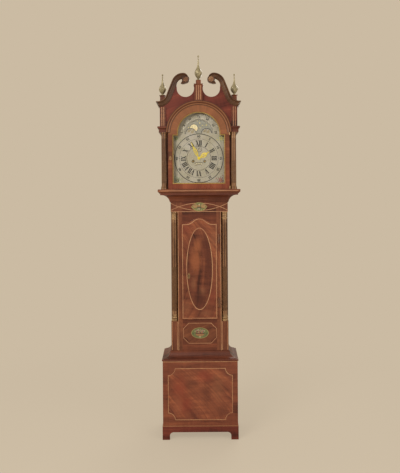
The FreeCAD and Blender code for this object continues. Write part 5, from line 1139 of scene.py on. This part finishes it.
flowers = {
    "leaf": (17, 6.5),
    "bud": (8, 5, 0.5, 1.6),
    "petal": (11, 8.5, 0.62),
    "rows": ((5, 3.0, 1.0), (5, 1.6, 0.7)),       # petals in a row, how far out, their size
    "petalCoats": (1.9, 2.4),
    "leafAngles": (20, 62, 118, 160, 205, 250, 292, 336),
    "leafReach": 8.25,
    "sprigs": ((24, -50), (27, 50), (22, 180)),
    "sprigLeaves": (-38, 38),
    "heart": (2.6, 14, 3),
}
corners = (  # across, up, the finishes of the petals, the heart and the leaves, and degrees
    (-138, 1646, "leafGrey", "leafDark", "leafGreen", 20),
    (138, 1646, "rosePink", "roseDeep", "roseLeaf", -20),
    (-145, 1914, "leafGreen", "leafDark", "leafGrey", 60),
    (145, 1914, "budYellow", "leafGreen", "leafGreen", -60),
)
globe = {
    "across": (-50, 50),
    "radius": 36,
    "rim": (0, 0, 36, 32, -90, 90, 32, 1.8),
    "parallels": (0.35, 0.68),         # heights in shares of the radius
    "parallelWide": 1,
    "rimGap": 2,                       # between the end of a parallel and the radius
    "meridians": (0.36, 0.72),         # how far each half circle is squeezed
    "meridian": (0, 0, 32, 31, -88, 88, 24, 1.6),
    "axis": (0, 0, 1.0, 0, 33, 1.6),
    "land": (0, 0, 7, 9, 1.2),
    "lands": ((-13, 16, 200, 1.1), (9, 11, 0, 1.3), (-4, 24, 200, 0.8), (16, 20, 280, 0.8)),
}
moonPaint = {
    "canvas": (-76.5, 0.12),
    "moons": ((-31, 36), (31, -36)),   # their middles on the disc, from its axle
    "stars": ((6, 70, 1.0), (24, 58, 0.8), (42, 74, 1.0), (14, 40, 0.7), (52, 48, 0.8), (72, 66, 0.9),
              (-6, 82, 0.7), (-58, 76, 0.8), (-76, 60, 1.0), (100, 60, 0.8), (-104, 66, 0.9), (176, 70, 1.0),
              (204, 60, 0.8), (222, 78, 1.0)),      # degrees from the top, reach, size
    "star": (4.6, 10),                 # radius, and how many sides before every other corner is drawn in
    "starWaist": 0.42,
}
moonFace = [("moonFace", disc, 0, 0, 27, 48), ("inkBlue", ring, 0, 0, 27, 24.4, 64, 2)]
for side in (-1, 1):  # closed eyes, brows and cheeks
    moonFace += [("inkFaded", arc, side * 9.18, 5.4, 4.0, 3.1, 110, 250, 12, 2),
                 ("inkFaded", arc, side * 9.18, 4.4, 7.4, 6.4, -52, 52, 12, 2),
                 ("moonCheek", disc, side * 12.96, -5.94, 4.2, 18, 1.5)]
moonFace += [("inkFaded", stroke, 0, 1.4, 1.0, -4.32, 4.32, 2),
             ("inkFaded", arc, 0, -5.4, 8.0, 6.8, 130, 230, 14, 2)]
datePaint = {"canvas": (-76.5, 0.1), "days": 31, "shown": 17, "numbers": (52, 7.5, 0.16)}


def spray(x, z, petalFinish, heartFinish, leafFinish, lean):  # a rose with leaves round it and three sprigs
    cut = flowers
    leaf, bud = finish(blade(*cut["leaf"]), leafFinish), finish(blade(*cut["bud"]), petalFinish)
    petals = [finish(blade(*cut["petal"], coats), shade)
              for coats, shade in zip(cut["petalCoats"], (petalFinish, heartFinish))]
    parts = [moved(leaf, *onCircle(x, z, cut["leafReach"], degrees + lean), degrees + lean)
             for degrees in cut["leafAngles"]]
    for reach, degrees in cut["sprigs"]:
        place = onCircle(x, z, reach, degrees + lean)
        parts += [moved(leaf, *place, degrees + lean + side, 0.6) for side in cut["sprigLeaves"]]
        parts.append(moved(bud, *place, degrees + lean))
    for row, (count, reach, size) in enumerate(cut["rows"]):
        for k in range(count):
            degrees = 360 * (k + 0.5 * row) / count + lean
            parts.append(moved(petals[row], *onCircle(x, z, reach, degrees), degrees, size))
    parts.append(finish(disc(x, z, *cut["heart"]), "budYellow"))
    remove(leaf, bud, *petals)
    return parts


def makeGlobe():  # half a globe with its rim, parallels, meridians and land, round the origin
    cut = globe
    thick, radius = cut["parallelWide"], cut["radius"]
    lines = []
    for share in cut["parallels"]:
        low = radius * share - thick / 2
        wide = radius * math.sqrt(1 - share * share) - cut["rimGap"]
        lines.append(stroke(0, 0, 2 * wide, low, low + thick, 1.5))
    for share in cut["meridians"]:
        lines.append(arc(*cut["meridian"]))
        lines[-1].data.transform(Matrix.Diagonal((share, 1, 1, 1)))
    lines.append(stroke(*cut["axis"]))
    parts = [finish(arc(*cut["rim"]), "inkBlue")] + [finish(line, "inkFaded") for line in lines]
    return parts + stamped(cut["lands"], finish(disc(*cut["land"]), "mapLand"))


def makeStar():
    middle, (radius, sides), waist = (0, canvas["plane"], 0), moonPaint["star"], moonPaint["starWaist"]
    piece = start("circle", *middle, vertices=sides, radius=radius * mm, fill_type="NGON", rotation=upright)
    choose(piece, "VERT", lambda place: round(math.atan2(place.x, place.y) * sides / math.tau) % 2)
    resize((waist, 1, waist), *middle)
    thicken(1)
    return finish(piece, "giltLine")


def moonScene():
    centre = dialPaint["archCentre"]
    faces = stamped([(x, centre + up) for x, up in moonPaint["moons"]], *paint(moonFace))
    places = [(*onCircle(0, centre, reach, degrees), degrees, size)
              for degrees, reach, size in moonPaint["stars"]]
    return faces + stamped(places, makeStar())


def daysOfMonth():
    count = datePaint["days"]
    labels = [(str(day), (day - datePaint["shown"]) * 360 / count) for day in range(1, count + 1)]
    return numbersRound(labels, dialPaint["dateCentre"], *datePaint["numbers"])


dress(joinPieces("dialFlowers", [part for corner in corners for part in spray(*corner)], hair), "case")
globes = stamped([(x, dialPaint["archCentre"]) for x in globe["across"]], *makeGlobe())
dress(joinPieces("dialGlobes", globes, hair), "case")
openCanvas(*moonPaint["canvas"])
dress(joinPieces("moonPainting", moonScene(), hair), "moon")
openCanvas(*datePaint["canvas"])
dress(finish(joinPieces("dayNumbers", daysOfMonth()), "inkBlack"), "calendar")
print("stage: dial painting")


# Hands: pierced gilt leaves with a rib and small scrolls, and a plain seconds hand

hands = {
    "minute": {"canvas": (-87.5, 1.5), "hub": 7.5, "stem": 4.6, "leaf": (12, 84), "width": 20, "tip": 118,
               "rim": 3.6, "scrolls": ((30, 3.2), (46, 4.0), (62, 3.0)), "angle": -25.8},
    "hour": {"canvas": (-84.0, 1.5), "hub": 9.5, "stem": 5.4, "leaf": (12, 62), "width": 28, "tip": 80,
             "rim": 5.2, "scrolls": ((28, 4.4), (42, 4.6)), "angle": 58.0},
    "seconds": {"canvas": (-81.0, 0.9), "hub": 3.2, "stem": 1.6, "tip": 24, "tail": 9, "weight": (7.4, 2.2),
                "angle": 215.0},
}
scrollLine = 1.2
ribCoats = 0.9  # the rib and the scrolls are thinner than the hand
tipLap = 6  # how far the tip starts inside the leaf
tipShare = 0.16
leafOutline = ((0.55, 0.86), (0.8, 0.72))  # past these shares of half its length it is this much narrower


def pierceLeaf(low, high, width, rim):  # a pointed leaf cut out so that its rim is left
    middle = (0, canvas["plane"], (low + high) / 2)
    piece = start("circle", *middle, vertices=32, radius=1, fill_type="NGON", rotation=upright)
    half = (high - low) / 2 * mm
    resize((width / 2 * mm, 1, half), *middle)
    for share, size in leafOutline:
        choose(piece, "VERT", lambda place: abs(place.y) > share * half)
        resize((size, 1, 1), *middle)
    pick()
    bpy.ops.mesh.inset(thickness=rim * mm)
    bpy.ops.mesh.delete(type="FACE")
    thicken(1)
    return piece


def makeHand(name, stoodFor):
    cut = hands[name]
    openCanvas(*cut["canvas"])
    low, high = cut["leaf"]
    parts = [disc(0, 0, cut["hub"], 32), stroke(0, 0, cut["stem"], 0, low + 1),
             pierceLeaf(low, high, cut["width"], cut["rim"]),
             stroke(0, 0, cut["rim"] / 2, low, high, ribCoats)]
    parts += [ring(0, reach, radius, radius - scrollLine, 24, ribCoats) for reach, radius in cut["scrolls"]]
    parts += stamped([(0, high - tipLap)], blade(cut["tip"] - high + tipLap, cut["stem"], tipShare))
    hand = joinPieces("hand", parts, hair)
    activate(hand)
    softenEdges(hand, 0.3, 2)
    hand = stamped([(0, dialPaint["centre"], cut["angle"])], hand)[0]
    hand.name = name + "HandPierced"
    dress(finish(hand, "giltBrass"), name, stoodFor)


def makeSecondsHand():
    cut = hands["seconds"]
    openCanvas(*cut["canvas"])
    parts = [disc(0, 0, cut["hub"]), stroke(0, 0, cut["stem"], -cut["tail"], cut["tip"]),
             disc(0, -cut["weight"][0], cut["weight"][1], 18)]
    hand = stamped([(0, dialPaint["secondsCentre"], cut["angle"])], joinPieces("hand", parts, hair))[0]
    hand.name = "secondsNeedle"
    dress(finish(hand, "inkBlack"), "escape", "seconds_hand")


makeHand("minute", "minute_hand")
makeHand("hour", "hour_hand")
makeSecondsHand()


# Gilt slip that holds the glass, seen as a yellow line round the dial

slip = {"canvas": (-109.2, 1.8), "wide": 3.8, "half": 167, "low": 1623, "shoulder": 1936, "archCentre": 1942,
        "archRadius": 138}


def makeSlip():
    wide, half, low, high = [slip[key] for key in ("wide", "half", "low", "shoulder")]
    radius = slip["archRadius"]
    span = half - radius + wide
    sides, shoulders = [[stroke(side * (half - width / 2), side * (half - width / 2), width, foot, high)
                         for side in (-1, 1)] for width, foot in ((wide, low), (span, high - wide))]
    sill = stroke(0, 0, 2 * half, low, low + wide)
    top = arc(0, slip["archCentre"], radius, radius - wide, -92, 92, 48)
    whole = joinPieces("giltSlip", [*sides, sill, *shoulders, top], hair)
    activate(whole)
    softenEdges(whole, 0.6, 3)
    return finish(whole, "giltSlip")


openCanvas(*slip["canvas"])
dress(makeSlip(), "hood_door")
print("stage: hands and gilt slip")


# Gut lines: from the knot under the seat round the pulley and over the barrel

gutLine = {
    "radius": 0.8,
    "depth": -18,
    "drum": 22.6,
    "knotHeight": 1708,
    "knotRadius": 3.2,
    "turns": (1500, 1767),          # heights of the pulley and the barrel
    "sections": 9,
    "sides": {"going": (37, "going_weight", "going_line"), "strike": (-37, "strike_weight", "strike_line")},
}


def makeGutLine(middle):
    cut = gutLine
    place = (middle + cut["drum"], cut["depth"], cut["knotHeight"])
    line = start("circle", *place, vertices=10, radius=cut["radius"] * mm, fill_type="NGON")
    height = cut["knotHeight"]
    for turnHeight in cut["turns"]:
        for k in range(cut["sections"]):
            push(0, 0, (turnHeight - height) / cut["sections"])
        bpy.ops.mesh.spin(steps=16, angle=math.pi, axis=(0, 1, 0),
                          center=at(middle, cut["depth"], turnHeight))
        height = turnHeight
    close()
    bpy.ops.object.shade_smooth()
    knot = start("sphere", *place, segments=16, ring_count=10, radius=cut["knotRadius"] * mm)
    choose(knot, "FACE", lambda spot, normal: math.sin(spot.z * 3000 + math.atan2(spot.y, spot.x) * 2) > 0.2)
    resize((1.12, 1.12, 1), *place)
    close()
    bpy.ops.object.shade_smooth()
    return [line, knot]


for sideName, (lineMiddle, weightBody, lineNode) in gutLine["sides"].items():
    line = finish(joinPieces(sideName + "Gut", makeGutLine(lineMiddle)), "gut")
    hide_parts(lineNode)
    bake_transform(line)
print("stage: gut lines")


# Inlaid paterae, made round the origin: an eagle with a striped shield and a footed bowl of fruit

patera = {
    "canvas": (-66.6, 0.14),
    "rim": 4.0,
    # height of the middle, half the length, half the height
    "upper": (1475, 51, 28.5),
    "lower": (662, 56, 35),
    # where a feather starts, its length, degrees from upright, its finish
    "feathers": ((-12, 7, 33, -84, "inlayTan"), (-12, 4, 34, -91, "inlayOrange"),
                 (-12, 1, 31, -97, "inlayTan"), (-13, 9, 25, -77, "inlayOrange"),
                 (-12, -2, 24, -104, "inlayOrange"), (-12, 10, 17, -70, "inlayTan")),
    "featherWide": 8.2,
    "featherTip": 0.3,
    "shadow": (1.4, 1.6),           # how much longer and wider than its feather
    "leafRim": (6.4, 3.6, 0.9),     # how much shorter and lower than the edge, and its width
    "clouds": 23,
    "cloudCurve": (0.74, 0.76, 0.52),   # shares of the half length and half height
    "cloud": (("inlayGold", disc, 0, 0, 1.9, 10, 2), ("inlayDark", disc, 0.5, -0.4, 1.0, 8, 3)),
    # breast, head, beak and eye
    "body": (("inlayOrange", disc, -2, 5, 9, 20, 3.4), ("inlayPale", disc, 1.4, 13.4, 5.2, 20, 4.4),
             ("inlayDark", grown, 4.8, 13.4, 108, 6.5, 3.4, 0.2, 4.2),
             ("inlayDark", disc, 2.2, 14.2, 1.3, 12, 5.2)),
    "shieldTop": (-0.5, 22.5),      # height of the top edge and its width
    "shieldFoot": (-21, 12),
    "shieldBend": 2.2,
    "stripes": 7,
    "stripe": (5.0, 9.2, 1.1),      # how far out the foot and head of the last one are, and its width
    "stripeGaps": (0.8, 5),         # to the foot and to the top edge
    "claw": (11, 2.4, 0.4, 4),
    "claws": ((-11, -14, 205, 0.8), (-11, -14, 160, 0.8), (-11, -14, -20, 0.8), (11, -15, 150, 0.8),
              (11, -15, 100, 0.8)),
    "bowls": ((64, 7, -2.0, "inlayPlum", 2), (54, 13, -7.5, "inlayOrange", 3)),   # the last is the coats
    "bowlRim": 0.12,                # how much of the upper half of a disc is left
    "foot": (("inlayPale", stroke, 0, 0, 10, -22, -19, 3), ("inlayTan", stroke, 0, 0, 6, -25, -21, 3),
             ("inlayPale", stroke, 0, 0, 13, -28, -25, 3)),
    "bead": (1.3, 10, 4),
    "beadCurve": (3.2, 0.16, -17.4),    # from bead to bead, how it rises to the ends, height of the middle
    "fruitRows": ((8, 41, 3.4, 4), (6, 31, 8.0, 3.6)),    # how many, how wide the row, how high, their radius
    "fruitFinishes": ("inlayRed", "inlayOrange", "inlayPlum", "rosePink", "inlayTan", "leafGreen"),
    "leaves": ((-20, -42, 0.9), (-13, -16, 1.1), (-6, -8, 1.2), (3, 6, 1.1), (9, 26, 1.0), (16, 14, 0.9),
               (21, 46, 1.0), (25, 74, 0.9), (-25, -70, 0.9)),
    "leaf": (13, 3.6, 0.2, 2.2),
    "darkLeaf": (12, 5.0, 0.2, 1.8),
    "blossom": [("rosePink", grown, 0, 0, 72 * k, 5.4, 3.6, 0.5, 4) for k in range(5)]
               + [("inlayRed", disc, 0, 0, 1.5, 10, 5)],
    "blossoms": ((2, 18, 0, 1.1), (-21, 15, 0, 1.0), (20, 14, 0, 0.9)),
}


def ovalRim(long, high, wide, look):  # two arcs that meet in points
    radius = (long * long + high * high) / (2 * high)
    half = math.degrees(math.asin(long / radius)) - 0.4
    upper = arc(0, high - radius, radius, radius - wide, -half, half, 40)
    return stamped([(0, 0), (0, 0, 180)], finish(upper, look))


def shieldGround():  # an upright patch that is narrower at its foot
    (high, wide), (low, footWide) = patera["shieldTop"], patera["shieldFoot"]
    piece = patch(0, low, high, wide)
    bpy.ops.mesh.subdivide(number_cuts=5)
    narrow(piece, low, high, [(level, 1 - (1 - footWide / wide) * ((1 - level) / 2) ** patera["shieldBend"])
                              for level in (-1.0, -0.667, -0.333, 0.0, 0.333)])
    thicken(4)
    return finish(piece, "inlayDark")


def makeEagle():
    cut = patera
    long, high = cut["upper"][1:]
    shorter, lower, width = cut["leafRim"]
    parts = ovalRim(long, high, cut["rim"], "inlayGold")
    parts += ovalRim(long - shorter, high - lower, width, "inlayLeaf")
    past, wider = cut["shadow"]
    for x, z, length, degrees, look in cut["feathers"]:
        shadow = blade(length + past, cut["featherWide"] + wider, cut["featherTip"], 2)
        feather = blade(length, cut["featherWide"], cut["featherTip"], 3)
        parts += stamped([(side * x, z, side * degrees) for side in (1, -1)], finish(shadow, "inlayDark"),
                         finish(feather, look))
    wide, top, bend = cut["cloudCurve"]
    shares = [k / (cut["clouds"] - 1) * 2 - 1 for k in range(cut["clouds"])]
    parts += stamped([(share * long * wide, high * (top - bend * share * share)) for share in shares],
                     *paint(cut["cloud"]))
    parts += paint(cut["body"]) + [shieldGround()]
    foot, head, width = cut["stripe"]
    low, high = cut["shieldFoot"][0] + cut["stripeGaps"][0], cut["shieldTop"][0] - cut["stripeGaps"][1]
    for k in range(cut["stripes"]):
        share = (k + 0.5) / cut["stripes"] * 2 - 1
        parts.append(finish(stroke(share * foot, share * head, width, low, high, 5), "inlayPale"))
    return parts + stamped(cut["claws"], finish(blade(*cut["claw"]), "inlayPale"))


def makeBowl():
    cut = patera
    long, high = cut["lower"][1:]
    parts = []
    for radius, width, look in ((long, cut["rim"], "inlayGold"), (long - 7.0, 1.4, "inlayLeaf")):
        line = finish(ring(0, 0, radius, radius - width), look)
        line.data.transform(Matrix.Diagonal((1, 1, high / long, 1)))
        parts.append(line)
    for width, depth, level, look, coats in cut["bowls"]:
        bowl = disc(0, 0, 0.5, 36, coats)
        opened()
        choose(bowl, "VERT", lambda place: place.z > 0)
        resize((1, 1, cut["bowlRim"]), 0, canvas["plane"], 0)
        close()
        bowl.data.transform(Matrix.Translation(at(0, 0, level)) @ Matrix.Diagonal((width, 1, 2 * depth, 1)))
        parts.append(finish(bowl, look))
    parts += paint(cut["foot"])
    step, bend, level = cut["beadCurve"]
    bead = finish(disc(0, 0, *cut["bead"]), "inlayRed")
    parts += stamped([(k * step, bend * k * k + level) for k in range(-4, 5)], bead)
    for row, (count, wide, z, radius) in enumerate(cut["fruitRows"]):
        for k in range(count):
            x = (k / (count - 1) - 0.5) * wide
            look = cut["fruitFinishes"][(k * 5 + row * 2) % len(cut["fruitFinishes"])]
            parts += [finish(disc(x, z, radius + 0.7, 16, 2.6), "inlayDark"),
                      finish(disc(x, z, radius, 16, 3 + row * 0.6), look)]
    leaf, dark = finish(blade(*cut["leaf"]), "inlayPale"), finish(blade(*cut["darkLeaf"]), "inlayLeaf")
    for x, degrees, size in cut["leaves"]:
        parts += [moved(leaf, x, 10, degrees, size), moved(dark, x + 3, 9, degrees + 9, size)]
    remove(leaf)
    parts += stamped([(side * (37 + 1.6 * (k % 3)), 1.2 * k - 6, side * (25 + 28 * k), 0.8)
                      for side in (-1, 1) for k in range(6)], dark)
    return parts + stamped(cut["blossoms"], *paint(cut["blossom"]))


openCanvas(*patera["canvas"])
for name, makePatera, height in (("eaglePatera", makeEagle, "upper"), ("fruitPatera", makeBowl, "lower")):
    inlay = joinPieces(name, makePatera(), hair)
    inlay.data.transform(Matrix.Translation(at(0, 0, patera[height][0])))
    dress(inlay, "case")
print("stage: paterae")


print("stage: finished")
